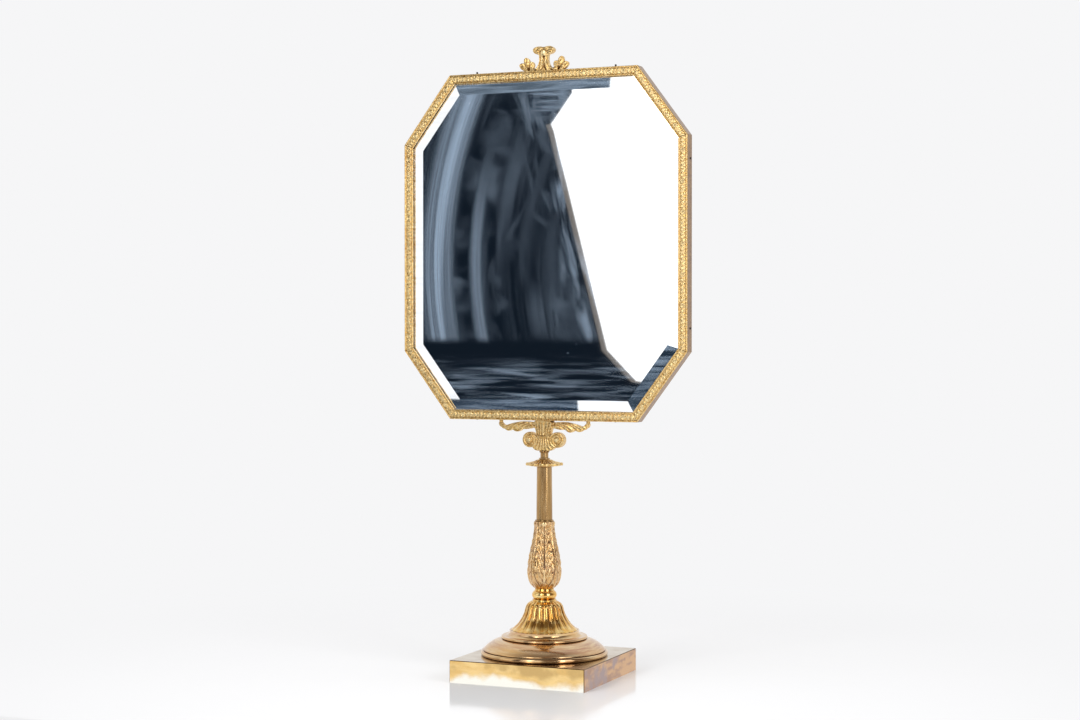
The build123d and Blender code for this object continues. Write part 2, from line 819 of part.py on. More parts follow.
# Gilt strips: one stamped moulding, two round beads beside a raised field
bead_start = rim_front - strip_thickness
field_inset = strip_bead_width + strip_field_margin
with BuildPart() as strip_ring:
    extrude(ring_face(rim_front, rim_inset, 0), amount=strip_thickness)
    outer_bead = ring_face(bead_start, rim_inset, rim_inset + strip_bead_width)
    inner_bead = ring_face(bead_start, -strip_bead_width, 0)
    extrude(outer_bead, amount=strip_bead_height)
    extrude(inner_bead, amount=strip_bead_height)
    fillet(strip_ring.edges().group_by(Axis.Y)[0], radius=strip_bead_round)
    field = ring_face(bead_start, rim_inset + field_inset, -field_inset)
    extrude(field, amount=strip_field_height)

# The moulding is cut to eight lengths, mitred where they meet
strip_names = [
    "strip_upper_right",
    "strip_right",
    "strip_lower_right",
    "strip_bottom",
    "strip_lower_left",
    "strip_left",
    "strip_upper_left",
    "strip_top",
]
inner_corners = octagon_corners(0)
outer_corners = octagon_corners(rim_inset)
strips = []
for i, strip_name in enumerate(strip_names):
    after = (i + 1) % len(strip_names)
    with BuildPart() as strip:
        with BuildSketch(front_plane(rim_front)):
            with BuildLine():
                Polyline(
                    inner_corners[i],
                    outer_corners[i],
                    outer_corners[after],
                    inner_corners[after],
                    close=True,
                )
            make_face()
        extrude(amount=strip_thickness + strip_bead_height)
        add(strip_ring.part, mode=Mode.INTERSECT)
    strips.append((strip_name, strip.part))

# Crest: a rolled palmette on a spreading stem, between two three-lobed leaves
crest_neck_z = frame_top_z + crest_stem_height
crest_top_z = frame_top_z + crest_height
with BuildPart() as crest:
    with BuildSketch(Plane.XZ):
        with BuildLine():
            stem_foot_x = crest_stem_foot_width / 2
            stem_neck_x = crest_stem_width / 2
            Line((-stem_foot_x, frame_top_z), (stem_foot_x, frame_top_z))
            SagittaArc((stem_foot_x, frame_top_z), (stem_neck_x, crest_neck_z), crest_stem_curve)
            Line((stem_neck_x, crest_neck_z), (0, crest_top_z - crest_head_dip))
            Line((0, crest_top_z - crest_head_dip), (-stem_neck_x, crest_neck_z))
            SagittaArc((-stem_neck_x, crest_neck_z), (-stem_foot_x, frame_top_z), crest_stem_curve)
        make_face()
        with Locations((0, crest_top_z - crest_lobe_height / 2)):
            with GridLocations(crest_head_width - crest_lobe_width, 0, 2, 1):
                Ellipse(crest_lobe_width / 2, crest_lobe_height / 2)
        with Locations((0, crest_top_z - crest_head_dip - crest_stem_width / 2)):
            Circle(crest_stem_width / 2)
        with Locations((0, frame_top_z)):
            Rectangle(
                crest_foot_width, crest_foot_height, align=(Align.CENTER, Align.MIN)
            )
        outer_lean = math.radians(crest_leaf_leans[-1])
        leaf_root_x = crest_width / 2 - crest_leaf_reaches[-1] * math.sin(outer_lean)
        for side in (-1, 1):
            for lean, reach in zip(crest_leaf_leans, crest_leaf_reaches):
                lean_x = math.sin(math.radians(lean)) * reach / 2
                lean_z = math.cos(math.radians(lean)) * reach / 2
                leaf_x = leaf_root_x + lean_x
                with Locations((side * leaf_x, frame_top_z + crest_foot_height / 2 + lean_z)):
                    Ellipse(crest_leaf_lobe_width / 2, reach / 2, rotation=-side * lean)
    extrude(amount=crest_head_thickness / 2, both=True)
    with BuildSketch(Plane.YZ):
        with BuildLine():
            foot_y = crest_thickness / 2
            head_y = crest_head_thickness / 2
            head_z = crest_top_z - crest_lobe_height / 2
            Line((-foot_y, frame_top_z), (foot_y, frame_top_z))
            SagittaArc((foot_y, frame_top_z), (head_y, head_z), crest_side_curve)
            SagittaArc((head_y, head_z), (head_y / 3, crest_top_z), -crest_roll_curve)
            Line((head_y / 3, crest_top_z), (-head_y / 3, crest_top_z))
            SagittaArc((-head_y / 3, crest_top_z), (-head_y, head_z), -crest_roll_curve)
            SagittaArc((-head_y, head_z), (-foot_y, frame_top_z), crest_side_curve)
        make_face()
    extrude(amount=crest_width, both=True, mode=Mode.INTERSECT)
    countersunk_pair(crest_screw_heads, crest_screw_spacing, True, screw_clearance, Mode.SUBTRACT)

# Screws, driven from inside the rim before the glass goes in
with BuildPart() as bracket_screws:
    countersunk_pair(bracket_screw_heads, bracket_screw_spacing, False)
with BuildPart() as crest_screws:
    countersunk_pair(crest_screw_heads, crest_screw_spacing, True)

pieces = [
    ("plinth", plinth.part),
    ("foot_dome", foot_dome.part),
    ("fluted_bell", fluted_bell.part),
    ("knop", knop.part),
    ("leaf_baluster", leaf_baluster.part),
    ("column_tube", column_tube.part),
    ("leaf_collar", leaf_collar.part),
    ("socket_bush", socket_bush.part),
    ("tie_rod", tie_rod.part),
    ("tie_washer", tie_washer.part),
    ("tie_nut", tie_nut.part),
    ("swivel_pin", swivel_pin.part),
    ("volute_capital", volute_capital.part),
    ("wing_bracket", wing_bracket.part),
    ("wing_studs", wing_studs.part),
    ("bracket_screws", bracket_screws.part),
    ("rim_band", rim_band.part),
    ("mirror_glass", mirror_glass.part),
    ("packing_card", packing_card.part),
    ("backing_board", backing_board.part),
    ("rim_pins", rim_pins.part),
    ("crest", crest.part),
    ("crest_screws", crest_screws.part),
]
pieces += strips

os.makedirs("parts", exist_ok=True)
for name, piece in pieces:
    piece.label = name
    export_step(piece, f"parts/{name}.step")
print("pieces", len(pieces), "total height", round(crest_top_z, 1))
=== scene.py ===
# %% [markdown]
# # A gilt table mirror on a pedestal foot
# The object is an octagonal bevelled looking-glass in a stamped gilt frame. It turns on a pin in
# a turned brass column, over a leaf-cast baluster, a fluted bell, a domed foot and a square
# plinth. The structure comes as ready solids at their real size and place. This lesson gives
# every one of them its finish, and chases the cast ornament that a plain solid lacks.

# %% Load the fixed frame
import math

import bpy
import numpy as np
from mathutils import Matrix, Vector


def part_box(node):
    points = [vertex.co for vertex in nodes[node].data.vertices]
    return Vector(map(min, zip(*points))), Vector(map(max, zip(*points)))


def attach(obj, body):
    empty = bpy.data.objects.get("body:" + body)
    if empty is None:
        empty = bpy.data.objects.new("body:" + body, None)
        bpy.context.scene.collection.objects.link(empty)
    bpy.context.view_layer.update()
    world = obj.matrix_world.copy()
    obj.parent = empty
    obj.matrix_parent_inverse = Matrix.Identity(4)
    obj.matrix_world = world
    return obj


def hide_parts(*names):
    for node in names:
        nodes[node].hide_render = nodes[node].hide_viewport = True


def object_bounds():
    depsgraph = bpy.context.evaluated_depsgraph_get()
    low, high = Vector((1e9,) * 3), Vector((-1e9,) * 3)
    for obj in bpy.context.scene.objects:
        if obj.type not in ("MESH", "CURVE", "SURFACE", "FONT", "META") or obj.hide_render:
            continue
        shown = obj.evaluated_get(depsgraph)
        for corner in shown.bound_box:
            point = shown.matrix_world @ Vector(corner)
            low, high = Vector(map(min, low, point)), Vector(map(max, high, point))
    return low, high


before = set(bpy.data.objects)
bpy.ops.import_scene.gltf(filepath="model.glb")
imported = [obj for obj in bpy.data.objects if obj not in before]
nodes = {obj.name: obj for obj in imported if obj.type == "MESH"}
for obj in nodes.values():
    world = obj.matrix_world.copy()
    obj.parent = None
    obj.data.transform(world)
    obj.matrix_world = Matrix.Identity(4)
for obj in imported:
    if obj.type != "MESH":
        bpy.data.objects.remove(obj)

cad_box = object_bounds()
MM = 0.001
print("solids in the frame:", len(nodes))
print("box in mm:", [[round(v / MM, 1) for v in corner] for corner in cad_box])

# %% [markdown]
# Sizes are written in millimetres and places come from the solids themselves, so a piece modelled
# here lands on what carries it. Colours are written as sRGB hex, the way a picture shows them,
# while shaders work in linear light, so one function turns the first into the second.

# %% Colour and node helpers


def srgb(code):
    """Linear red, green, blue and alpha of an sRGB hex colour."""
    channels = [int(code[i : i + 2], 16) / 255 for i in (1, 3, 5)]
    linear = [c / 12.92 if c <= 0.04045 else ((c + 0.055) / 1.055) ** 2.4 for c in channels]
    return (*linear, 1.0)


def every(millimetres):
    """The scale of a pattern whose features come about this far apart."""
    return 1 / (millimetres * MM)


# Settings that many nodes share. A Map Range takes its value (0), the two ends of its range
# (1, 2) and the two ends of its result (3, 4); a Mix blends amounts 2 and 3 or colours 6 and 7.
product = {"operation": "MULTIPLY"}
maximum = {"operation": "MAXIMUM"}
soft = {"interpolation_type": "SMOOTHSTEP"}
colours = {"data_type": "RGBA", "output": 2}


def add_node(tree, kind, inputs={}, output=0, **settings):
    """Add one node, set it, give each input a value or a link, and return one output."""
    node = tree.nodes.new("ShaderNode" + kind)
    for name, value in settings.items():
        setattr(node, name, value)
    for socket, value in inputs.items():
        if isinstance(value, bpy.types.NodeSocket):
            tree.links.new(value, node.inputs[socket])
        else:
            node.inputs[socket].default_value = value
    return node.outputs[output] if node.outputs else node


def tinted(tree, value, low, high, first, second):
    """A colour that goes softly from the first to the second as the value crosses a range."""
    amount = add_node(tree, "MapRange", {0: value, 1: low, 2: high}, **soft)
    return add_node(tree, "Mix", {0: amount, 6: first, 7: second}, **colours)


def kept_where(tree, amount, value, low, high):
    """The amount, faded in softly as another value crosses a range."""
    kept = add_node(tree, "MapRange", {0: value, 1: low, 2: high}, **soft)
    return add_node(tree, "Math", {0: amount, 1: kept}, **product)


def new_material(name):
    """An empty material with its node tree and a plain surface shader wired to the output."""
    material = bpy.data.materials.new(name)
    material.use_nodes = True
    tree = material.node_tree
    tree.nodes.clear()
    shader = add_node(tree, "BsdfPrincipled").node
    add_node(tree, "OutputMaterial", {"Surface": shader.outputs[0]})
    place = add_node(tree, "TexCoord", output="Object")
    return material, tree, shader, place


print("pure white in linear light:", srgb("#FFFFFF"))

# %% [markdown]
# ## The camera
# The photograph's viewpoint was worked out from the square plinth and the eight corners of the
# frame: the camera stands 1.9 m away, 23 degrees round to the right, a little above the
# middle of the object, with a lens of about 67 mm on a 36 mm wide sensor. The picture is
# 1080 by 720 pixels, and a point in it is named by its pixel.

# %% Camera
picture_width, picture_height = 1080, 720
focal_pixels = 2000.0
sensor_width = 36.0
camera_azimuth = math.radians(22.9)
camera_distance = 1.891
camera_height = 0.326
axis_pixel, horizon_pixel = 544.4, 332.1

camera_data = bpy.data.cameras.new("camera")
camera_data.sensor_width = sensor_width
camera_data.lens = focal_pixels * sensor_width / picture_width
camera = bpy.data.objects.new("camera", camera_data)
bpy.context.scene.collection.objects.link(camera)
camera.location = (
    camera_distance * math.sin(camera_azimuth),
    -camera_distance * math.cos(camera_azimuth),
    camera_height,
)
look_down = math.atan((picture_height / 2 - horizon_pixel) / focal_pixels)
look_left = math.atan((axis_pixel - picture_width / 2) / focal_pixels)
camera.rotation_euler = (math.radians(90) - look_down, 0, camera_azimuth + look_left)
bpy.context.scene.camera = camera
bpy.context.view_layer.update()
print("lens", round(camera_data.lens, 2), "mm, camera at", [round(v, 3) for v in camera.location])

# %% [markdown]
# ## The studio
# The photograph was taken on a glossy white table in a white room, with one large softbox each
# side of the camera. Metal and glass have no colour of their own to speak of. What they show is
# the room, so the room is built for them: a dark end behind the camera, white
# elsewhere, and the softboxes as bright cards that only reflections can see.

# %% Room and floor
scene = bpy.context.scene
scene.view_settings.view_transform = "Standard"

world = bpy.data.worlds.new("studio")
world.use_nodes = True
scene.world = world
room = world.node_tree
room.nodes.clear()
backdrop_white = srgb("#F6F6F7")
fill_light = 0.62
room_dark = srgb("#74685C")
room_direction = add_node(room, "TexCoord", output="Generated")
toward_camera = add_node(
    room,
    "VectorMath",
    {0: room_direction, 1: (math.sin(camera_azimuth), -math.cos(camera_azimuth), 0)},
    output="Value",
    operation="DOT_PRODUCT",
)
dark_end = add_node(room, "MapRange", {0: toward_camera, 1: -0.5, 2: 0.35}, **soft)
reflected_room = add_node(room, "Mix", {0: dark_end, 6: backdrop_white, 7: room_dark}, **colours)
rays = add_node(room, "LightPath").node.outputs
seen_or_glossy = add_node(
    room, "Mix", {0: rays["Is Glossy Ray"], 6: (fill_light,) * 3 + (1,), 7: reflected_room}, **colours
)
seen_by_camera = add_node(
    room, "Math", {0: rays["Is Camera Ray"], 1: rays["Is Transmission Ray"]}, **maximum
)
shown = add_node(room, "Mix", {0: seen_by_camera, 6: seen_or_glossy, 7: backdrop_white}, **colours)
background = add_node(room, "Background", {"Color": shown})
add_node(room, "OutputWorld", {"Surface": background})

table_size = 9.0
bpy.ops.object.select_all(action="DESELECT")
bpy.ops.mesh.primitive_plane_add(size=table_size)
table_top = bpy.context.object
table_top.name = "table_top"
# White acrylic sheet: dense white under a smooth, slightly scuffed gloss
acrylic, tree, shader, place = new_material("white_acrylic")
scuff = add_node(tree, "TexNoise", {"Vector": place, "Scale": every(60), "Detail": 4})
gloss = add_node(tree, "MapRange", {0: scuff, 3: 0.06, 4: 0.16})
tree.links.new(gloss, shader.inputs["Roughness"])
shader.inputs["Base Color"].default_value = srgb("#EFEFF0")
shader.inputs["IOR"].default_value = 1.49
far_away = add_node(tree, "VectorMath", {0: place}, output="Value", operation="LENGTH")
into_backdrop = add_node(tree, "MapRange", {0: far_away, 1: 0.1, 2: 0.7}, **soft)
table_rays = add_node(tree, "LightPath").node.outputs
seen_directly = add_node(
    tree, "Math", {0: table_rays["Is Camera Ray"], 1: table_rays["Is Glossy Ray"]}, **maximum
)
fade = add_node(tree, "Math", {0: into_backdrop, 1: seen_directly}, **product)
lit_table = add_node(tree, "Math", {0: table_rays["Is Glossy Ray"], 1: 0.95}, **product)
fade = add_node(tree, "Math", {0: fade, 1: lit_table}, **maximum)
glow = add_node(tree, "MapRange", {0: table_rays["Is Glossy Ray"], 3: 1, 4: 1.12})
backdrop_glow = add_node(tree, "Emission", {"Color": backdrop_white, "Strength": glow})
table_surface = add_node(tree, "MixShader", {0: fade, 1: shader.outputs[0], 2: backdrop_glow})
tree.links.new(table_surface, tree.nodes["Material Output"].inputs["Surface"])
table_top.data.materials.append(acrylic)
print("room and table made")

# %% [markdown]
# The right-hand part of the glass shows the left softbox. Its outline there is known pixel by
# pixel, so the card is drawn by following each named pixel from the camera to the glass and on
# to the plane of the card. The card lights nothing: it is only there to be reflected.

# %% Softbox cards
glass_low, glass_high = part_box("mirror_glass")
card_distance = 1.3
flat_normal = Vector((0, -1, 0))


def reflected_point(pixel, distance, normal):
    """Where glass with this normal shows a pixel's reflection, on an upright plane before it."""
    across = (pixel[0] - picture_width / 2) / focal_pixels
    down = (pixel[1] - picture_height / 2) / focal_pixels
    ray = camera.matrix_world.to_3x3() @ Vector((across, -down, -1))
    hit = camera.location + ray * ((glass_low.y - camera.location.y) / ray.y)
    onward = ray - 2 * ray.dot(normal) * normal
    return hit + onward * ((-distance - hit.y) / onward.y)


def card(name, corners, colour, strength):
    """A flat glowing card that shows only in reflections."""
    mesh = bpy.data.meshes.new(name)
    mesh.from_pydata(corners, [], [tuple(range(len(corners)))])
    piece = bpy.data.objects.new(name, mesh)
    scene.collection.objects.link(piece)
    material = bpy.data.materials.new(name)
    material.use_nodes = True
    tree = material.node_tree
    tree.nodes.clear()
    glow = add_node(tree, "Emission", {"Color": srgb(colour), "Strength": strength})
    add_node(tree, "OutputMaterial", {"Surface": glow})
    mesh.materials.append(material)
    piece.visible_camera = False
    piece.visible_diffuse = False
    piece.visible_shadow = False
    piece.visible_transmission = False


def reflected_card(name, pixels, distance, colour, strength=1.0, normal=flat_normal):
    """A card that fills these pixels of the glass, or of the bevel that has this normal."""
    corners = [reflected_point(pixel, distance, normal) for pixel in pixels]
    card(name, corners, colour, strength)


left_softbox_edge = [(597, -430), (572, 93), (551, 124), (554, 132), (607, 350), (636, 381)]
left_softbox_edge += [(655, 384), (1150, 400), (1150, -430)]
reflected_card("left_softbox", left_softbox_edge, card_distance, "#FFFFFF", 1.35)
# The softbox's bright middle, just right of what the flat of the glass shows
left_core_edge = [(715, -300), (715, 330), (850, 330), (850, -300)]
reflected_card("left_core", left_core_edge, card_distance - 0.02, "#FFFDF8", 5.0)
# The softbox's grey cloth hem, seen as a thin line beside the white
hem_width_pixels = 5
hem_line = left_softbox_edge[2:7]
hem_outline = hem_line + [(u - hem_width_pixels, v + 1) for u, v in reversed(hem_line)]
reflected_card("softbox_hem", hem_outline, card_distance, "#77716C")
# The dark doorway behind the photographer's lamp, as wide as the flat of the glass shows it
dark_doorway_edge = [(340, 60), (760, 60), (760, 430), (340, 430)]
reflected_card("dark_doorway", dark_doorway_edge, card_distance + 0.05, "#111A24")
# The dark floor of the room, which the bottom bevel shows left of one point
floor_edge_pixel = (568, 408)
floor_near, floor_far, floor_left, floor_height = 0.35, 1.29, -1.3, 3 * MM
floor_edge = [reflected_point(floor_edge_pixel, y, flat_normal).x for y in (floor_near, floor_far)]
floor_corners = [
    Vector((floor_edge[0], -floor_near, floor_height)),
    Vector((floor_edge[1], -floor_far, floor_height)),
    Vector((floor_left, -floor_far, floor_height)),
    Vector((floor_left, -floor_near, floor_height)),
]
card("dark_floor", floor_corners, "#243140", 1.0)

# The lower right bevel leans away from the flat, and shows a dark stand further round
bevel_depth, bevel_width = 2.1, 17
bevel_tilt = math.atan(bevel_depth / bevel_width)
corner_cut_across, corner_cut_down = 44.2, 59.2
corner_cut = math.hypot(corner_cut_across, corner_cut_down)
lower_right_normal = Vector(
    (
        math.sin(bevel_tilt) * corner_cut_down / corner_cut,
        -math.cos(bevel_tilt),
        -math.sin(bevel_tilt) * corner_cut_across / corner_cut,
    )
)
lower_right_bevel = [(690, 335), (655, 335), (610, 412), (640, 425)]
near_distance = card_distance - 0.03
reflected_card("dark_stand", lower_right_bevel, near_distance, "#22303E", normal=lower_right_normal)
# The top bevel leans up, and shows the blue-grey wall above the doorway
top_normal = Vector((0, -math.cos(bevel_tilt), math.sin(bevel_tilt)))
top_bevel = [(430, 60), (610, 60), (610, 102), (430, 102)]
reflected_card("upper_wall", top_bevel, near_distance, "#4F5B67", normal=top_normal)
# A white screen further left, which the left bevels show
left_screen_edge = [(330, -500), (330, 900), (-500, 900), (-500, -500)]
reflected_card("left_screen", left_screen_edge, card_distance, "#FFFFFF")


def right_card(name, azimuth, half_width, distance, strength):
    """An upright card on the right, which only the round pieces show."""
    turn = math.radians(azimuth)
    middle = Vector((math.sin(turn), -math.cos(turn), 0)) * distance
    across = Vector((math.cos(turn), math.sin(turn), 0)) * half_width
    corners = [(-1, 0.12), (1, 0.12), (1, 1.5), (-1, 1.5)]
    outline = [middle + across * side + Vector((0, 0, height)) for side, height in corners]
    card(name, outline, "#FFFDF8", strength)


right_card("right_softbox", 66, 0.3, 1.6, 1.9)
right_card("right_core", 56, 0.1, 1.5, 5.0)

# %% [markdown]
# The lamps light the table and the matt surfaces softly. Two large area lamps stand where the
# softboxes are, and a third one overhead opens the shadows.

# %% Lamps


def area_lamp(name, azimuth, distance, height, size, watts):
    """A square area lamp round the object, aimed at its middle."""
    data = bpy.data.lights.new(name, "AREA")
    data.size = size
    data.energy = watts
    lamp = bpy.data.objects.new(name, data)
    scene.collection.objects.link(lamp)
    turn = math.radians(azimuth)
    lamp.visible_glossy = False
    lamp.location = (math.sin(turn) * distance, -math.cos(turn) * distance, height)
    aim = Vector((0, 0, (cad_box[0].z + cad_box[1].z) / 2)) - lamp.location
    lamp.rotation_euler = aim.to_track_quat("-Z", "Y").to_euler()


# Degrees round from the front, then distance, height and size in metres, then watts
area_lamp("left_lamp", -20, 1.9, 1.1, 0.8, 20)
area_lamp("right_lamp", 66, 1.9, 1.1, 0.8, 16)
area_lamp("top_lamp", 22.9, 0.3, 2.0, 1.2, 10)

# %% [markdown]
# ## Finishes
# Fire-gilt bronze is brass with a thin gold skin. Where it is rubbed it is bright, in the
# hollows old wax and dirt stay, and the gold wears through to pinkish metal. So every gilt
# finish here is one recipe with its own tones: a broad drift of tone, a fine mottling, dirt in
# the cut hollows, shade painted darker where surfaces face each other, and a grain that breaks up the
# gloss.

# %% Metal finish


def turned_round(tree, place):
    """Pattern coordinates drawn out round the upright axis, as a lathe leaves its marks."""
    parts = add_node(tree, "SeparateXYZ", {0: place}).node.outputs
    flat = add_node(tree, "CombineXYZ", {0: parts["X"], 1: parts["Y"]})
    radius = add_node(tree, "VectorMath", {0: flat}, output="Value", operation="LENGTH")
    turn = add_node(tree, "Math", {0: parts["Y"], 1: parts["X"]}, operation="ARCTAN2")
    turn_share = add_node(tree, "Math", {0: turn, 1: 0.006}, **product)
    return add_node(tree, "CombineXYZ", {0: radius, 1: turn_share, 2: parts["Z"]})


def metal_finish(name, tones, dirt_and_shade_colour, gloss, mottle=1.6, drift=28.0, grain=0.35, grain_depth=0.03,
                 painted_shade_reach=1.5, dirt_and_shade_amount=0.8, shares=None, turned=False):
    """Old gilding or brass: three tones, grime in the cut hollows, shade painted darker where surfaces
    face each other, and a grain, all in millimetres.
    """
    material, tree, shader, place = new_material(name)
    if shares:
        place = add_node(tree, "VectorMath", {0: place, 1: shares}, **product)
    if turned:
        place = turned_round(tree, place)
    broad = add_node(tree, "TexNoise", {"Vector": place, "Scale": every(drift), "Detail": 3})
    fine = add_node(
        tree, "TexNoise", {"Vector": place, "Scale": every(mottle), "Detail": 5, "Roughness": 0.65}
    )
    main_share = add_node(tree, "MapRange", {0: broad, 1: 0.35, 2: 0.68})
    fine_share = add_node(tree, "MapRange", {0: fine, 1: 0.42, 2: 0.72})
    colour = add_node(tree, "Mix", {0: main_share, 6: srgb(tones[0]), 7: srgb(tones[1])}, **colours)
    colour = add_node(tree, "Mix", {0: fine_share, 6: colour, 7: srgb(tones[2])}, **colours)
    chasing = add_node(tree, "Attribute", output="Fac", attribute_name="chasing")
    rubbed = add_node(tree, "MapRange", {0: chasing, 1: 0.08, 2: 0.45, 4: 0.75})
    colour = add_node(tree, "Mix", {0: rubbed, 6: colour, 7: srgb(tones[2])}, **colours)
    hollow = add_node(tree, "MapRange", {0: chasing, 1: -0.12, 2: -0.6, 4: dirt_and_shade_amount})
    # Painted shade: the colour darkens where ambient occlusion finds surfaces facing each other, on top
    # of the dirt in the cut hollows
    open_sky = add_node(tree, "AmbientOcclusion", {"Distance": painted_shade_reach * MM}, output="AO", samples=6)
    dirt_and_shade = add_node(tree, "MapRange", {0: open_sky, 1: 0.9, 2: 0.35, 4: dirt_and_shade_amount})
    dirt_and_shade = add_node(tree, "Math", {0: dirt_and_shade, 1: hollow}, **maximum)
    colour = add_node(tree, "Mix", {0: dirt_and_shade, 6: colour, 7: srgb(dirt_and_shade_colour)}, **colours)
    rough = add_node(tree, "MapRange", {0: fine, 1: 0.3, 2: 0.7, 3: gloss[0], 4: gloss[1]})
    grit = add_node(tree, "TexNoise", {"Vector": place, "Scale": every(grain), "Detail": 2})
    relief = add_node(tree, "Bump", {"Height": grit, "Distance": grain_depth * MM, "Strength": 1.0})
    shader.inputs["Metallic"].default_value = 1.0
    tree.links.new(colour, shader.inputs["Base Color"])
    tree.links.new(rough, shader.inputs["Roughness"])
    tree.links.new(relief, shader.inputs["Normal"])
    return material


# Fire-gilt bronze left matt: a soft yellow that is pale on the ridges and brown in the cuts, from dirt
# and painted shade
matt_gilt = metal_finish(
    "matt_gilt", ("#DDB46C", "#CB9C58", "#F8E4B0"), "#6A4420", (0.2, 0.38), grain=0.6,
    grain_depth=0.018, dirt_and_shade_amount=0.85,
)
# The baluster's gilding is worn, and its punched ground is violet-grey from dirt and painted shade
grey_worn_gilt = metal_finish(
    "grey_worn_gilt", ("#D8A663", "#BD8D62", "#F3DAAA"), "#665048", (0.18, 0.36), mottle=2.2,
    drift=9.0, grain=0.7, grain_depth=0.045, dirt_and_shade_amount=0.85,
)
# Gilding burnished with agate: a deep yellow mirror, orange in the hollows from dirt and painted shade
burnished_gilt = metal_finish(
    "burnished_gilt", ("#EDBE66", "#DC9C48", "#FBE2A0"), "#8A4E1A", (0.06, 0.16), mottle=5.0,
    grain_depth=0.0, dirt_and_shade_amount=0.7,
)
# The domed foot was turned: satin streaks round the axis, worn to pinkish bronze
worn_gilt = metal_finish(
    "worn_gilt", ("#DDB47A", "#C39A7C", "#E9CFA4"), "#5A3A20", (0.08, 0.2), mottle=3.0, drift=9.0,
    grain=0.5, grain_depth=0.006, turned=True,
)
# Drawn brass tube, tarnished in streaks along its length
aged_brass = metal_finish(
    "aged_brass", ("#AC8754", "#8C6A44", "#C6A678"), "#3A2A18", (0.1, 0.2), mottle=2.0,
    drift=5.0, grain=0.6, grain_depth=0.004, shares=(1, 1, 0.08),
)
# The folded band round the frame is darker than the turned brass
rim_brass = metal_finish(
    "rim_brass", ("#8E6C48", "#735138", "#AC8B62"), "#2E1E12", (0.16, 0.34), mottle=3.0, drift=16.0,
    grain_depth=0.01,
)
dark_steel = metal_finish(
    "dark_steel", ("#4A4644", "#38332F", "#5A544F"), "#1E1A18", (0.35, 0.55), drift=6.0
)
print("metals:", [m.name for m in bpy.data.materials if m.name.endswith(("gilt", "brass", "steel"))])

# %% [markdown]
# ### The plinth
# The plinth is a thin casting, filed flat and polished, then worn for two centuries. Its front
# is yellow, going olive under the top edge, with a painted reflection of the white table as a
# pale strip along the bottom. Its right-hand side is darker, partly painted shade and partly pink
# and violet tarnish in level streaks. Its top is painted grey-tan as a reflection of the room, and
# the edges are painted as dark lines of shade. Each zone is chosen by height and by the way the surface
# faces.

# %% Plinth metal
plinth_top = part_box("plinth")[1].z
polished_casting, tree, shader, place = new_material("polished_casting")
streak_place = add_node(tree, "VectorMath", {0: place, 1: (0.3, 0.3, 1)}, **product)
long_streaks = add_node(tree, "TexNoise", {"Vector": streak_place, "Scale": every(7), "Detail": 4})
clouds = add_node(tree, "TexNoise", {"Vector": place, "Scale": every(26), "Detail": 3})
height = add_node(tree, "SeparateXYZ", {0: place}, output="Z")
wavering = add_node(tree, "MapRange", {0: clouds, 1: 0.25, 2: 0.75, 3: -6 * MM, 4: 6 * MM})
wavering_height = add_node(tree, "Math", {0: height, 1: wavering}, operation="ADD")
facing = add_node(tree, "NewGeometry", output="True Normal")
facing_parts = add_node(tree, "SeparateXYZ", {0: facing}).node.outputs

front_colour = tinted(tree, long_streaks, 0.35, 0.65, srgb("#FAD896"), srgb("#EAC27C"))
olive_share = add_node(tree, "MapRange", {0: wavering_height, 1: 11 * MM, 2: 17 * MM}, **soft)
olive_share = kept_where(tree, olive_share, clouds, 0.42, 0.6)
front_colour = add_node(tree, "Mix", {0: olive_share, 6: front_colour, 7: srgb("#D2B074")}, **colours)
# Painted reflection: a pale strip along the bottom stands in for the white table that the front reflects
front_colour = tinted(tree, wavering_height, 11 * MM, 3 * MM, front_colour, srgb("#FFFDF2"))
# The side is darker, partly painted shade, with pink and violet tarnish in streaks
side_colour = tinted(tree, long_streaks, 0.4, 0.6, srgb("#CCA072"), srgb("#A58068"))
side_colour = tinted(tree, clouds, 0.5, 0.66, side_colour, srgb("#9E8884"))
# Painted reflection: the top is grey-tan, like the room it reflects
top_room_reflection = tinted(tree, clouds, 0.35, 0.65, srgb("#D2C5B0"), srgb("#BAA486"))
casting_colour = tinted(tree, facing_parts["X"], 0.3, 0.8, front_colour, side_colour)
casting_colour = tinted(tree, facing_parts["Z"], 0.6, 0.95, casting_colour, top_room_reflection)
squared = add_node(tree, "VectorMath", {0: facing, 1: facing}, **product)
fourth_power = add_node(
    tree, "VectorMath", {0: squared, 1: squared}, output="Value", operation="DOT_PRODUCT"
)
# Painted shade: the rounded edges, which face between the flats, turn dark
casting_colour = tinted(tree, fourth_power, 0.9, 0.6, casting_colour, srgb("#6A4C28"))
gloss = add_node(tree, "MapRange", {0: long_streaks, 3: 0.05, 4: 0.18})
hairlines = add_node(tree, "TexNoise", {"Vector": streak_place, "Scale": every(0.8), "Detail": 2})
dents = add_node(tree, "Bump", {"Height": hairlines, "Distance": 0.01 * MM, "Strength": 1.0})
tree.links.new(casting_colour, shader.inputs["Base Color"])
tree.links.new(gloss, shader.inputs["Roughness"])
tree.links.new(dents, shader.inputs["Normal"])
shader.inputs["Metallic"].default_value = 1.0
print("plinth metal for a top at", round(plinth_top / MM, 1), "mm")

# %% [markdown]
# ## Silvered glass
# The looking-glass is a thick plate with a broad ground bevel and silver behind it. It is
# modelled as what the eye gets from it: a nearly perfect mirror. Over it lies the bluish haze
# that a cloth left in long curved strokes, with smears and specks of dust.

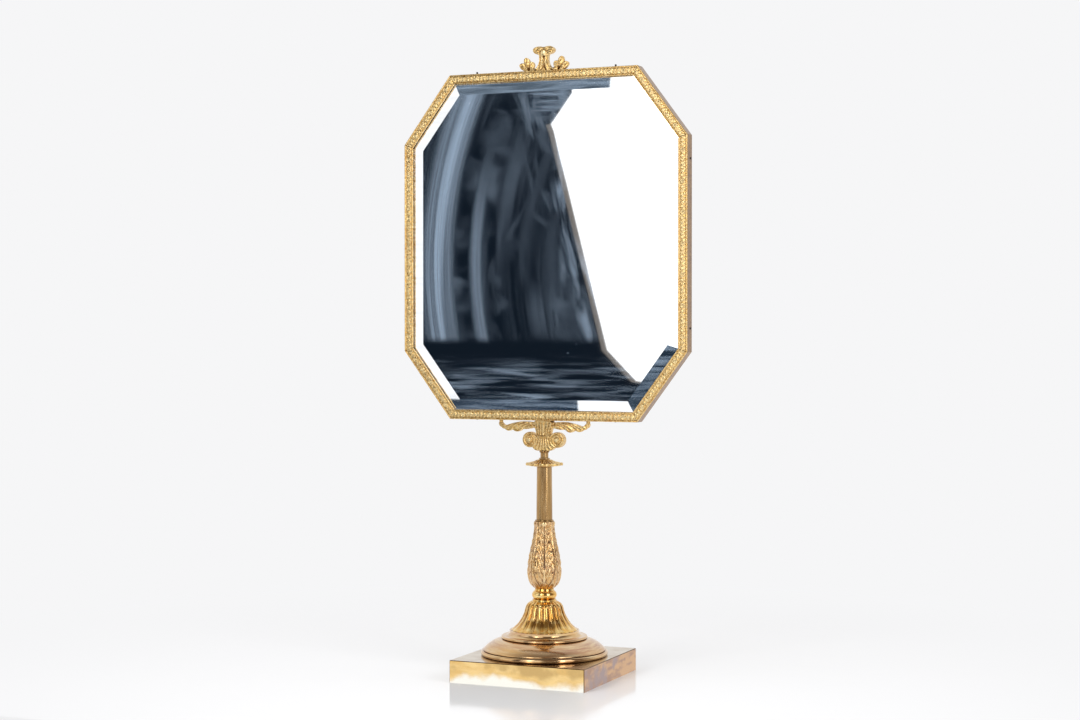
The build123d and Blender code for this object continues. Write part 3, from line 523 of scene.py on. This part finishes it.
# %% Mirror with wiping haze
silvered_glass, tree, shader, place = new_material("silvered_glass")
wipe_centre = (0.293, 0, 0.39)
from_centre = add_node(tree, "VectorMath", {0: place, 1: wipe_centre}, operation="SUBTRACT")
flat_on_glass = add_node(tree, "VectorMath", {0: from_centre, 1: (1, 0, 1)}, **product)
stroke_radius = add_node(tree, "VectorMath", {0: flat_on_glass}, output="Value", operation="LENGTH")
parts = add_node(tree, "SeparateXYZ", {0: flat_on_glass}).node.outputs
leftward = add_node(tree, "Math", {0: parts["X"], 1: -1.0}, **product)
stroke_angle = add_node(tree, "Math", {0: parts["Z"], 1: leftward}, operation="ARCTAN2")
stroke_place = add_node(tree, "CombineXYZ", {0: stroke_radius, 1: stroke_angle})
height_on_glass = add_node(tree, "SeparateXYZ", {0: place}, output="Z")


def drawn_noise(where, across, along, low, high, distortion=0.0):
    """Noise drawn out into strokes by a scale each way, softly from 0 at low to 1 at high."""
    scaled = add_node(tree, "VectorMath", {0: where, 1: (across, along, 1)}, **product)
    settings = {"Vector": scaled, "Scale": 1.0, "Detail": 3, "Distortion": distortion}
    noise = add_node(tree, "TexNoise", settings)
    return add_node(tree, "MapRange", {0: noise, 1: low, 2: high}, **soft)


def near(value, middle, reach):
    """1 where the value is at the middle, falling softly to 0 at the reach."""
    away = add_node(tree, "Math", {0: value, 1: middle}, operation="SUBTRACT")
    away = add_node(tree, "Math", {0: away}, operation="ABSOLUTE")
    return add_node(tree, "MapRange", {0: away, 1: reach, 2: 0}, **soft)


def laid_over(haze, layer, strength):
    """The haze, or a layer at this strength wherever that is the stronger."""
    layer = add_node(tree, "Math", {0: layer, 1: strength}, **product)
    return add_node(tree, "Math", {0: haze, 1: layer}, **maximum)


hair_lines = drawn_noise(stroke_place, every(1.5), 1.4, 0.25, 0.7)
soft_lines = drawn_noise(stroke_place, every(7), 1.2, 0.25, 0.75, 0.3)
faint_strokes = drawn_noise(stroke_place, every(18), 1.5, 0.4, 0.8, 0.5)
# One broad stroke and a narrow one beside it, each with a soft edge and fine lines within
broad_stroke = kept_where(tree, near(stroke_radius, 403 * MM, 24 * MM), soft_lines, -0.6, 0.9)
narrow_stroke = kept_where(tree, near(stroke_radius, 362 * MM, 10 * MM), height_on_glass, 0.54, 0.42)
narrow_stroke = kept_where(tree, narrow_stroke, soft_lines, -0.8, 0.9)
strokes = laid_over(broad_stroke, narrow_stroke, 0.7)
strokes = laid_over(strokes, faint_strokes, 0.2)
strokes = kept_where(tree, strokes, hair_lines, -1.2, 1.0)
# Soft clouds where a hand or breath touched the glass
clouds = add_node(tree, "TexNoise", {"Vector": place, "Scale": every(40), "Detail": 5, "Distortion": 0.8})
cloud_share = add_node(tree, "MapRange", {0: clouds, 1: 0.45, 2: 0.8}, **soft)
haze = laid_over(strokes, cloud_share, 0.28)
# A smear low down, left of the white reflection
smear = near(parts["X"], -275 * MM, 50 * MM)
smear = add_node(tree, "Math", {0: smear, 1: near(height_on_glass, 347 * MM, 42 * MM)}, **product)
haze = laid_over(haze, kept_where(tree, smear, soft_lines, 0.1, 0.9), 0.34)
# Milky strokes beside the white reflection, along its slanting edge
slant_top, slant_low = Vector((6.8, 0, 522.8)) * MM, Vector((64.8, 0, 307.6)) * MM
slant = (slant_low - slant_top).normalized()
leftward_of_slant = Vector((slant.z, 0, -slant.x))
slant_offset = slant_top.dot(leftward_of_slant)
measure = {"output": "Value", "operation": "DOT_PRODUCT"}
beside = add_node(tree, "VectorMath", {0: place, 1: tuple(leftward_of_slant)}, **measure)
along_slant = add_node(tree, "VectorMath", {0: place, 1: tuple(slant)}, **measure)
slant_place = add_node(tree, "CombineXYZ", {0: beside, 1: along_slant})
slant_strokes = drawn_noise(slant_place, every(9), every(55), 0.4, 0.75, 0.5)
slant_strokes = kept_where(tree, slant_strokes, beside, slant_offset + 44 * MM, slant_offset + 6 * MM)
haze = laid_over(haze, slant_strokes, 0.65)
# Level strokes, which show first in the corner above the white reflection
level_scale = (every(60), 0, every(4))
level_place = add_node(tree, "VectorMath", {0: place, 1: level_scale}, **product)
level_settings = {"Vector": level_place, "Scale": 1.0, "Detail": 4, "Distortion": 0.6}
level_strokes = add_node(tree, "TexNoise", level_settings)
top_corner = kept_where(tree, near(parts["X"], -288 * MM, 42 * MM), height_on_glass, 0.518, 0.545)
haze = laid_over(haze, kept_where(tree, top_corner, level_strokes, 0.3, 0.75), 1.0)
# Below the horizon of the room the cloth went straight across
level_share = add_node(tree, "MapRange", {0: level_strokes, 1: 0.4, 2: 0.8}, **soft)
level_share = kept_where(tree, level_share, height_on_glass, 0.306, 0.28)
level_haze = add_node(tree, "Math", {0: level_share, 1: 0.75}, **product)
below_horizon = add_node(tree, "MapRange", {0: height_on_glass, 1: 0.323, 2: 0.314}, **soft)
haze = add_node(tree, "Mix", {0: below_horizon, 2: haze, 3: level_haze})
# The ground bevels have level strokes of their own, wherever the surface leans
facing = add_node(tree, "NewGeometry", output="True Normal")
to_piece = {"vector_type": "NORMAL", "convert_from": "WORLD", "convert_to": "OBJECT"}
facing = add_node(tree, "VectorTransform", {0: facing}, **to_piece)
forward = add_node(tree, "VectorMath", {0: facing, 1: (0, -1, 0)}, **measure)
on_flat = add_node(tree, "MapRange", {0: forward, 1: 0.994, 2: 0.998})
bevel_share = add_node(tree, "MapRange", {0: level_strokes, 1: 0.3, 2: 0.75}, **soft)
bevel_haze = add_node(tree, "Math", {0: bevel_share, 1: 0.7}, **product)
haze = add_node(tree, "Mix", {0: on_flat, 2: bevel_haze, 3: haze})
# Specks of dust
specks = add_node(tree, "TexVoronoi", {"Vector": place, "Scale": every(17)}, output="Distance")
speck_share = add_node(tree, "MapRange", {0: specks, 1: 0.035, 2: 0.015}, **soft)
haze = laid_over(haze, kept_where(tree, speck_share, clouds, 0.42, 0.5), 1.0)
# The film takes hardly any light from the reflection, and adds the light that it scatters
film_share = add_node(tree, "Math", {0: haze, 1: 0.58}, **product)
film_colour = add_node(tree, "Mix", {0: film_share, 6: srgb("#000000"), 7: srgb("#A4B8CE")}, **colours)
film = add_node(tree, "BsdfDiffuse", {"Color": film_colour})
hazy_mirror = add_node(tree, "AddShader", {0: shader.outputs[0], 1: film})
tree.links.new(hazy_mirror, tree.nodes["Material Output"].inputs["Surface"])
shader.inputs["Base Color"].default_value = srgb("#F6F8FA")
shader.inputs["Metallic"].default_value = 1.0
shader.inputs["Roughness"].default_value = 0.02
print("glass stands between", round(glass_low.y / MM, 2), "and", round(glass_high.y / MM, 2), "mm")

# %% [markdown]
# ## Back of the frame
# The back is closed by a thin softwood board over a sheet of grey card. The board was sawn from
# a quarter-cut plank, so its grain runs upright in close, slightly wavy lines.

# %% Board and card
pine_board, tree, shader, place = new_material("pine_board")
grain_place = add_node(tree, "Mapping", {"Vector": place, "Scale": (1, 1, 0.06)})
rings = add_node(
    tree,
    "TexWave",
    {"Vector": grain_place, "Scale": every(26), "Distortion": 5.0, "Detail": 3.0, "Detail Scale": 1.6},
    output="Fac",
    bands_direction="X",
)
fibres = add_node(tree, "TexNoise", {"Vector": grain_place, "Scale": every(1.2), "Detail": 4})
wood = add_node(tree, "Mix", {0: rings, 6: srgb("#9A7349"), 7: srgb("#B48D5F")}, **colours)
fibre_share = add_node(tree, "MapRange", {0: fibres, 1: 0.4, 2: 0.75})
wood = add_node(tree, "Mix", {0: fibre_share, 6: wood, 7: srgb("#7A5634")}, **colours)
wood_relief = add_node(tree, "Bump", {"Height": fibres, "Distance": 0.15 * MM, "Strength": 0.8})
tree.links.new(wood, shader.inputs["Base Color"])
tree.links.new(wood_relief, shader.inputs["Normal"])
shader.inputs["Roughness"].default_value = 0.62

grey_card, tree, shader, place = new_material("grey_card")
pulp = add_node(tree, "TexNoise", {"Vector": place, "Scale": every(0.8), "Detail": 4})
card_colour = add_node(tree, "Mix", {0: pulp, 6: srgb("#8F8A82"), 7: srgb("#A7A198")}, **colours)
tree.links.new(card_colour, shader.inputs["Base Color"])
shader.inputs["Roughness"].default_value = 0.9
print("back materials made")

# %% [markdown]
# ## Dressing the solids
# Each solid from the frame takes the finish of the real piece.

# %% Give every solid its finish
finishes = {
    matt_gilt: ["leaf_baluster", "leaf_collar", "volute_capital", "wing_bracket", "wing_studs", "crest"]
    + [name for name in nodes if name.startswith("strip_")],
    burnished_gilt: ["fluted_bell", "knop"],
    worn_gilt: ["foot_dome"],
    polished_casting: ["plinth"],
    aged_brass: ["column_tube", "swivel_pin", "socket_bush"],
    rim_brass: ["rim_band"],
    dark_steel: ["tie_rod", "tie_washer", "tie_nut", "bracket_screws", "crest_screws", "rim_pins"],
    silvered_glass: ["mirror_glass"],
    grey_card: ["packing_card"],
    pine_board: ["backing_board"],
}
for material, names in finishes.items():
    for name in names:
        mesh = nodes[name].data
        mesh.materials.clear()
        mesh.materials.append(material)
dressed = sum(len(names) for names in finishes.values())
print("dressed", dressed, "of", len(nodes))

# %% [markdown]
# ## Chasing the castings
# The bronze pieces were cast plainly and then chased: a craftsman cut veins, flutes and eyes
# into them with gravers and punches. The solids have the bodies of these pieces. So a copy of
# each gets an even skin of small faces, which a voxel remesh makes, and strokes push the points
# of that skin in or out. A stroke is a curve through a start, a bend and an end. Modelling
# each leaf by extruding faces would take far longer and would not look cut by hand.

# %% Strokes and punches
stroke_steps = 8


def stroke(across, up, start, bend, end, width, lift):
    """The lift of a tapering stroke at each point: a ridge if positive, a groove if negative."""
    shares = np.linspace(0, 1, stroke_steps + 1)[:, None]
    start, bend, end = np.array(start), np.array(bend), np.array(end)
    curve = (1 - shares) ** 2 * start + 2 * shares * (1 - shares) * bend + shares**2 * end
    low, high = curve.min(axis=0) - 3 * width, curve.max(axis=0) + 3 * width
    near = (across > low[0]) & (across < high[0]) & (up > low[1]) & (up < high[1])
    x, y = across[near], up[near]
    closest = np.full(x.size, np.inf)
    along = np.zeros(x.size)
    for i in range(stroke_steps):
        run = curve[i + 1] - curve[i]
        part = ((x - curve[i, 0]) * run[0] + (y - curve[i, 1]) * run[1]) / (run @ run)
        part = np.clip(part, 0, 1)
        distance = (x - curve[i, 0] - part * run[0]) ** 2 + (y - curve[i, 1] - part * run[1]) ** 2
        along = np.where(distance < closest, (i + part) / stroke_steps, along)
        closest = np.minimum(closest, distance)
    total = np.zeros_like(across)
    spread = width * (1.1 - 0.5 * along)
    total[near] = lift * (1 - 0.4 * along) * np.exp(-closest / spread**2)
    return total


def punch(across, up, centre, radius, lift):
    """The lift of one blow of a round punch, or of a boss if it is positive."""
    distance = (across - centre[0]) ** 2 + (up - centre[1]) ** 2
    return lift * np.exp(-distance / radius**2)


def line_lift(distance, width, lift):
    """A line that runs on, given each point's distance from it."""
    return lift * np.exp(-((distance / width) ** 2))


def folded_turn(points, copies, first):
    """Degrees from the middle of the nearest of the copies round the upright axis."""
    step = 360 / copies
    turn = np.degrees(np.arctan2(points[:, 1], points[:, 0])) - first
    return np.abs((turn + step / 2) % step - step / 2)


print("a stroke is a curve of", stroke_steps, "short runs")

# %% [markdown]
# The skin is remeshed a little finer than the finest stroke. The relief is also kept on the
# mesh as an attribute, so that the finish can lay dirt in the cuts and rub the ridges bright.

# %% Chased copy


def new_piece(name, mesh):
    """Make a mesh a piece of its own, with nothing else selected."""
    bpy.ops.object.select_all(action="DESELECT")
    piece = bpy.data.objects.new(name, mesh)
    scene.collection.objects.link(piece)
    bpy.context.view_layer.objects.active = piece
    piece.select_set(True)
    return piece


def even_skin(name, voxel):
    """A copy of a solid with an even skin of faces this size, in mm."""
    piece = new_piece(name + "_chased", nodes[name].data.copy())
    bpy.ops.object.mode_set(mode="EDIT")
    bpy.ops.mesh.select_all(action="SELECT")
    bpy.ops.mesh.remove_doubles(threshold=0.001 * MM)
    bpy.ops.object.mode_set(mode="OBJECT")
    skin = piece.modifiers.new("skin", "REMESH")
    skin.mode = "VOXEL"
    skin.voxel_size = voxel * MM
    bpy.ops.object.modifier_apply(modifier=skin.name)
    soften = piece.modifiers.new("soften", "SMOOTH")
    soften.factor = 0.5
    soften.iterations = 3
    bpy.ops.object.modifier_apply(modifier=soften.name)
    return piece


def chase(piece, name, finish, body, relief):
    """Lift each point of the piece by the relief, in mm, and let it stand for the solid."""
    mesh = piece.data
    count = len(mesh.vertices)
    points = np.empty(count * 3)
    mesh.vertices.foreach_get("co", points)
    points = points.reshape(-1, 3) / MM
    normals = np.empty(count * 3)
    mesh.vertex_normals.foreach_get("vector", normals)
    normals = normals.reshape(-1, 3)
    lift = relief(points, normals)
    mesh.vertices.foreach_set("co", ((points + normals * lift[:, None]) * MM).ravel())
    mesh.attributes.new("chasing", "FLOAT", "POINT").data.foreach_set("value", lift)
    mesh.update()
    bpy.ops.object.shade_smooth()
    mesh.materials.clear()
    mesh.materials.append(finish)
    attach(piece, body)
    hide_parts(name)
    print(name, "chased:", count, "points, relief", round(lift.min(), 2), "to", round(lift.max(), 2))


# %% [markdown]
# ### Stamped strips
# The frame's moulding was rolled from thin sheet in one long length: a rosette every 28 mm and a
# wavy vine between, with a curled leaf in each bend, on a dotted ground. The same relief runs
# along all eight lengths, and it is stretched a little so that each length holds whole repeats.

# %% Frame moulding
rosette_spacing = 28.0
rosette_ring = 1.9
vine_wave = 7.0
vine_sway = 1.15
curl_ring = 0.95
curl_places = (5.25, 8.75, 12.25)
curl_side = 0.75
dot_side = 2.0
edge_line = 2.75
half_width = 2.95


def stamped_relief(points, normals):
    """Rosettes, vine and curls along a strip, on the side that faces forward."""
    flat = points[:, [0, 2]]
    spread = np.linalg.svd(flat - flat.mean(axis=0), full_matrices=False)[2]
    along = flat @ spread[0]
    across = flat @ spread[1]
    along -= (along.max() + along.min()) / 2
    across -= (across.max() + across.min()) / 2
    length = along.max() - along.min()
    spacing = length / max(1, round(length / rosette_spacing))
    local = (along + spacing / 2) % spacing - spacing / 2
    aside = np.abs(local) * rosette_spacing / spacing
    lift = line_lift(np.hypot(local, across) - rosette_ring, 0.38, 0.5)
    lift += punch(local, across, (0, 0), 0.95, 0.75)
    outside = aside > rosette_ring + 0.9
    vine = vine_sway * np.sin(2 * np.pi * aside / vine_wave)
    lift += outside * line_lift(across - vine, 0.34, 0.42)
    for i, middle in enumerate(curl_places):
        side = 1 if i % 2 == 0 else -1
        distance = np.hypot(aside - middle, across - side * curl_side)
        lift += line_lift(distance - curl_ring, 0.28, 0.4)
        lift += line_lift(distance, 0.45, 0.6)
        lift += line_lift(np.hypot(aside - middle, across + side * dot_side), 0.5, 0.45)
    lift += line_lift(np.hypot(aside - rosette_spacing / 2, across), 0.7, 0.7)
    lift -= line_lift(np.abs(across) - edge_line, 0.3, 0.25)
    return lift * np.clip(-normals[:, 1], 0, 1) ** 2 * (np.abs(across) < half_width)


for name in sorted(name for name in nodes if name.startswith("strip_")):
    chase(even_skin(name, 0.32), name, matt_gilt, "mirror_head", stamped_relief)

# %% [markdown]
# ### Crest
# A palmette whose head rolls over into two drooping lobes round a boss, on a stem that spreads
# into folds, between two leaves of three lobes. Both faces and both halves are alike, so the
# strokes are cut once in a half that is folded over.

# %% Crest relief
crest_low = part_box("crest")[0] / MM
leaf_root = (15.1, 1.5)
leaf_veins = ((-26, 7.6), (17, 11.2), (60, 10.2))
leaf_folds = ((-6, 6.4), (39, 7.4))


def leaning(root, lean, reach):
    """The point at this reach from a root, leaning this many degrees outwards."""
    return (
        root[0] + reach * math.sin(math.radians(lean)),
        root[1] + reach * math.cos(math.radians(lean)),
    )


def crest_relief(points, normals):
    """Lobes, boss, stem folds and leaf veins."""
    x = np.abs(points[:, 0])
    up = points[:, 2] - crest_low.z
    lift = punch(x, up, (0, 16.6), 2.4, 0.9)
    lift += line_lift(np.hypot(x, up - 16.6) - 3.5, 0.5, -0.55)
    lift += stroke(x, up, (3.6, 18.2), (6.6, 21.0), (9.2, 18.0), 0.5, -0.55)
    lift += stroke(x, up, (4.0, 16.8), (6.6, 18.4), (8.0, 15.8), 0.45, -0.5)
    lift += stroke(x, up, (2.2, 21.4), (5.8, 23.0), (9.8, 20.4), 0.45, 0.35)
    lift += stroke(x, up, (0, 23.2), (0, 21.8), (0, 20.2), 0.5, -0.6)
    lift += stroke(x, up, (1.7, 23.0), (2.4, 21.6), (2.6, 20.0), 0.4, -0.4)
    lift += stroke(x, up, (0, 13.4), (0, 11.0), (0, 8.4), 0.75, -1.0)
    lift += stroke(x, up, (1.9, 14.2), (1.9, 7.5), (3.4, 0.6), 0.75, 0.5)
    lift += stroke(x, up, (3.4, 13.6), (3.4, 6.8), (6.4, 0.8), 0.5, -0.5)
    lift += stroke(x, up, (4.3, 12.2), (4.6, 5.6), (9.4, 1.4), 0.6, 0.35)
    lift += stroke(x, up, (0, 6.6), (0.6, 3.4), (3.6, 0.0), 0.75, -0.9)
    lift += stroke(x, up, (7.0, 2.8), (10.0, 0.8), (13.0, 2.2), 0.6, 0.4)
    lift += punch(x, up, (8.2, 0.4), 1.0, -0.9)
    for lean, reach in leaf_veins:
        middle = leaning(leaf_root, lean, reach / 2)
        lift += stroke(x, up, leaf_root, middle, leaning(leaf_root, lean, reach), 0.45, -0.45)
        for side in (-9, 9):
            vein_end = leaning(leaf_root, lean + side, reach * 0.86)
            lift += stroke(x, up, middle, middle, vein_end, 0.5, 0.35)
    for lean, reach in leaf_folds:
        middle = leaning(leaf_root, lean, reach / 2)
        lift += stroke(x, up, leaf_root, middle, leaning(leaf_root, lean, reach), 0.6, -0.8)
    return lift * normals[:, 1] ** 2


chase(even_skin("crest", 0.3), "crest", matt_gilt, "mirror_head", crest_relief)

# %% [markdown]
# ### Capital and bracket
# Below the frame a flat palmette carries two leafy wings, and under it a fan of flutes hangs
# between the two scrolls.

# %% Capital and bracket relief
capital_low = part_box("volute_capital")[0] / MM
bracket_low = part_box("wing_bracket")[0] / MM
scroll_centre = (13.8, 10.3)
fan_cuts = (
    ((1.1, 11.4), (1.2, 5.0), (1.8, 0.2)),
    ((3.2, 11.4), (3.4, 6.0), (5.4, 0.9)),
    ((5.2, 11.4), (5.4, 7.0), (8.8, 2.4)),
)
fan_ribs = (
    ((0.0, 11.4), (0.0, 5.0), (0.0, 0.2)),
    ((2.15, 11.4), (2.3, 5.4), (3.6, 0.4)),
    ((4.2, 11.4), (4.4, 6.6), (7.2, 1.6)),
)
palmette_cuts = (
    ((1.5, 0.4), (1.6, 6.0), (1.9, 12.6)),
    ((3.9, 0.4), (4.1, 6.6), (5.6, 12.4)),
    ((5.9, 0.6), (6.2, 5.4), (8.4, 10.8)),
)
wing_cuts = (
    ((10.4, 10.4), (16.0, 10.6), (21.0, 6.6)),
    ((11.0, 11.6), (20.0, 12.0), (26.6, 5.6)),
    ((15.0, 12.4), (25.0, 12.6), (31.6, 6.6)),
    ((20.0, 12.7), (30.0, 12.2), (36.2, 6.4)),
    ((26.0, 12.4), (34.0, 11.4), (40.4, 7.0)),
)


def capital_relief(points, normals):
    """Flutes of the fan, lines on the band and eyes in the scrolls."""
    x = np.abs(points[:, 0])
    up = points[:, 2] - capital_low.z
    lift = sum(stroke(x, up, *cut, 0.5, -0.6) for cut in fan_cuts)
    lift += sum(stroke(x, up, *rib, 0.7, 0.4) for rib in fan_ribs)
    lift += line_lift(up - 12.1, 0.35, -0.4) * (x < 8)
    lift += punch(x, up, scroll_centre, 1.2, 0.7)
    lift += line_lift(np.hypot(x - scroll_centre[0], up - scroll_centre[1]) - 6.9, 0.4, 0.3)
    return lift * normals[:, 1] ** 2


def bracket_relief(points, normals):
    """Flutes of the palmette and slanting veins of the wings."""
    x = np.abs(points[:, 0])
    up = points[:, 2] - bracket_low.z
    lift = sum(stroke(x, up, *cut, 0.45, -0.55) for cut in palmette_cuts)
    lift += stroke(x, up, (0, 0.4), (0, 6), (0, 12.4), 0.7, 0.45)
    lift += sum(stroke(x, up, *cut, 0.5, -0.6) for cut in wing_cuts)
    for start, bend, end in wing_cuts:
        rib = [(point[0] + 2.2, point[1] + 0.5) for point in (start, bend, end)]
        lift += stroke(x, up, *rib, 0.7, 0.35)
    lift += punch(x, up, (9.4, 9.4), 1.0, -0.8)
    return lift * normals[:, 1] ** 2


for name, relief in (("volute_capital", capital_relief), ("wing_bracket", bracket_relief)):
    chase(even_skin(name, 0.31), name, matt_gilt, "mirror_head", relief)

# %% [markdown]
# ### Leaves of the baluster and collar
# These pieces repeat round the upright axis. Each point's turn is folded into the half of one
# leaf, and the strokes are cut there: four tall leaves on the baluster and eight petals on the
# collar.

# %% Baluster and collar relief
baluster_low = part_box("leaf_baluster")[0] / MM
front_turn = -67.5
leaf_mm_per_degree = 0.25
petal_mm_per_degree = 0.2
vein_roots = (7, 14, 21, 28, 35, 42, 48)
leaf_eyes = ((7.8, 16), (8.6, 26), (7.8, 36), (6.6, 45), (5.6, 53))


def baluster_relief(points, normals):
    """Four tall leaves with a groove above, a stem below, fanned veins and drilled eyes."""
    across = folded_turn(points, 4, front_turn) * leaf_mm_per_degree
    up = points[:, 2] - baluster_low.z
    radius = np.hypot(points[:, 0], points[:, 1])
    lift = stroke(across, up, (0, 20), (0, 40), (0, 59), 0.6, -1.0)
    lift += stroke(across, up, (0, 3), (0, 11), (0, 21), 1.0, 0.55)
    lift += stroke(across, up, (1.7, 2), (1.5, 11), (1.3, 21), 0.4, -0.5)
    lift += punch(across, up, (0, 1.6), 1.3, -0.7)
    lift += stroke(across, up, (0.9, 60), (0.9, 40), (1.1, 22), 0.4, 0.4)
    for root in vein_roots:
        start, bend, end = (1.2, root), (3.4, root + 4.6), (7.2, root + 12.5)
        lift += stroke(across, up, start, bend, end, 0.42, -0.5)
        rib = [(start[0], root + 3.4), (bend[0], root + 8.0), (end[0], root + 15.8)]
        lift += stroke(across, up, *rib, 0.6, 0.35)
    lift += stroke(across, up, (4.6, 2), (10.6, 10), (10.2, 28), 0.7, -0.75)
    lift += stroke(across, up, (10.2, 28), (9.4, 42), (6.8, 54), 0.7, -0.75)
    for eye in leaf_eyes:
        lift += punch(across, up, eye, 0.75, -1.0)
        lift += punch(across, up, (eye[0] + 0.6, eye[1] + 4.6), 1.5, 0.45)
    lift += stroke(across, up, (11.25, 60), (11.25, 40), (11.25, 16), 0.7, 0.5)
    lift += line_lift(up - 61.4, 1.3, 0.8) * (across < 6.5)
    lift += line_lift(up - 58.4, 0.6, -0.3)
    outside = radius > 9.2
    return lift * outside * np.clip(1 - np.abs(normals[:, 2]), 0, 1) ** 0.5


def collar_relief(points, normals):
    """Eight petals, each with a rib, a groove beside it and a tip that turns up."""
    across = folded_turn(points, 8, front_turn) * petal_mm_per_degree
    out = np.hypot(points[:, 0], points[:, 1])
    lift = stroke(across, out, (0, 7), (0, 12), (0, 16.5), 0.8, 0.45)
    lift += stroke(across, out, (1.6, 7), (2.0, 12), (2.4, 16), 0.4, -0.5)
    lift += stroke(across, out, (4.5, 17), (4.5, 12), (4.5, 7), 0.6, -0.75)
    lift += line_lift(out - 16.6, 0.8, 0.5) * (across < 4)
    return lift * np.clip(normals[:, 2], 0, 1)


baluster = even_skin("leaf_baluster", 0.35)
chase(baluster, "leaf_baluster", grey_worn_gilt, "stand", baluster_relief)
collar = even_skin("leaf_collar", 0.3)
chase(collar, "leaf_collar", matt_gilt, "stand", collar_relief)

# %% [markdown]
# ### The bell
# The bell is burnished, so every ripple of its skin would show. It is therefore turned from
# a smooth outline with the spin tool, and the twenty lobes are then pressed into it, in the half
# of a lobe that every point's turn is folded into.

# %% Bell turned and lobed
bell_low, bell_high = [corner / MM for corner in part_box("fluted_bell")]
bell_outline = ((31.8, 0.0), (25.2, 6.0), (19.9, 14.8), (17.0, 23.6), (12.6, 27.1))
bell_ring_radius = 11.2
bell_top = bell_outline[-1][1]
bell_ring_height = bell_high.z - bell_low.z - bell_top
bell_lobes = 20
lobe_turn = front_turn + 4.5
lobe_mm_per_degree = 0.35
lobe_depth = 1.3
turn_steps = 480


def smooth_line(corners, steps):
    """Points on a smooth line that passes through the corners."""
    padded = [2 * corners[0] - corners[1], *corners, 2 * corners[-1] - corners[-2]]
    line = []
    for before, start, end, after in zip(padded, padded[1:], padded[2:], padded[3:]):
        for t in np.arange(steps) / steps:
            bend = 2 * before - 5 * start + 4 * end - after
            twist = 3 * start - before - 3 * end + after
            line.append(start + 0.5 * t * (end - before + t * (bend + t * twist)))
    return [*line, corners[-1]]


def turned_blank(name, outline):
    """Spin an outline of radius and height, in mm, round the upright axis."""
    mesh = bpy.data.meshes.new(name)
    corners = [(radius * MM, 0, height * MM) for radius, height in outline]
    mesh.from_pydata(corners, [(i, i + 1) for i in range(len(corners) - 1)], [])
    piece = new_piece(name, mesh)
    bpy.ops.object.mode_set(mode="EDIT")
    bpy.ops.mesh.select_all(action="SELECT")
    bpy.ops.mesh.spin(steps=turn_steps, angle=2 * math.pi, center=(0, 0, 0), axis=(0, 0, 1))
    bpy.ops.mesh.select_all(action="SELECT")
    bpy.ops.mesh.remove_doubles(threshold=0.001 * MM)
    bpy.ops.mesh.normals_make_consistent(inside=False)
    bpy.ops.object.mode_set(mode="OBJECT")
    return piece


def bell_relief(points, normals):
    """Rounded lobes with an arched top, a fine line inside each edge and darts at the foot."""
    half_lobe = 180 / bell_lobes * lobe_mm_per_degree
    across = folded_turn(points, bell_lobes, lobe_turn) * lobe_mm_per_degree
    up = points[:, 2] - bell_low.z
    radius = np.hypot(points[:, 0], points[:, 1])
    on_lobes = (up < bell_top) & (radius > bell_outline[-1][0] - 1)
    lift = -lobe_depth * (across / half_lobe) ** 2 * on_lobes
    lift += stroke(across, up, (2.2, 3), (2.1, 12), (1.8, 21), 0.28, -0.25)
    lift += line_lift(np.hypot(across, up - 21.5) - 2.2, 0.35, -0.35) * (up > 21.5) * on_lobes
    lift += stroke(across, up, (half_lobe, 1.0), (half_lobe, 4), (half_lobe, 9), 0.8, 0.8)
    return lift * np.clip(1 - np.abs(normals[:, 2]), 0, 1) ** 0.5


flank = smooth_line([np.array(corner) for corner in bell_outline], 20)
ring_outline = [
    (bell_ring_radius, bell_top),
    (bell_ring_radius + 0.3, bell_top + 0.5 * bell_ring_height),
    (bell_ring_radius, bell_top + bell_ring_height),
    (0, bell_top + bell_ring_height),
]
bell_section = [(0, 0), *[tuple(point) for point in flank], *ring_outline]
bell_section = [(radius, height + bell_low.z) for radius, height in bell_section]
bell = turned_blank("fluted_bell_chased", bell_section)
chase(bell, "fluted_bell", burnished_gilt, "stand", bell_relief)

# %% [markdown]
# ### Pins in the rim
# Eight wire pins hold the back board. They stand proud of the rim, the two on top a little more,
# and are seen as dark dots above its edge. Each is a short wire with rounded ends.

# %% Rim pins
pin_low, pin_high = [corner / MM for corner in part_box("rim_pins")]
wire_radius = 0.9
wire_length = 6.0
wire_rounding = 0.35
top_pin_rise = 2.2
top_pin_spacing, side_pin_spacing = 142.0, 156.0
pin_depth = (pin_low.y + pin_high.y) / 2
frame_middle = (pin_low.z + pin_high.z) / 2
pin_places = [
    *[(side * top_pin_spacing / 2, pin_high.z, 0, top_pin_rise) for side in (-1, 1)],
    *[(side * top_pin_spacing / 2, pin_low.z, 180, 0) for side in (-1, 1)],
    *[(pin_high.x, frame_middle + side * side_pin_spacing / 2, 90, 0) for side in (-1, 1)],
    *[(pin_low.x, frame_middle + side * side_pin_spacing / 2, 270, 0) for side in (-1, 1)],
]
bpy.ops.object.select_all(action="DESELECT")
wires = []
for x, z, turn, rise in pin_places:
    bpy.ops.mesh.primitive_cylinder_add(vertices=20, radius=wire_radius * MM, depth=wire_length * MM)
    wire = bpy.context.object
    rounding = wire.modifiers.new("rounding", "BEVEL")
    rounding.width = wire_rounding * MM
    rounding.segments = 3
    bpy.ops.object.modifier_apply(modifier=rounding.name)
    outward = Vector((math.sin(math.radians(turn)), 0, math.cos(math.radians(turn))))
    wire.rotation_euler = (0, math.radians(turn), 0)
    wire.location = Vector((x, pin_depth, z)) * MM + outward * (rise - wire_length / 2) * MM
    bpy.ops.object.transform_apply()
    wires.append(wire)
for wire in wires:
    wire.select_set(True)
bpy.ops.object.join()
pins = bpy.context.object
pins.name = "rim_wires"
bpy.ops.object.shade_smooth_by_angle(angle=math.radians(40))
pins.data.materials.append(dark_steel)
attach(pins, "mirror_head")
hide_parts("rim_pins")
print("rim pins:", len(pin_places))
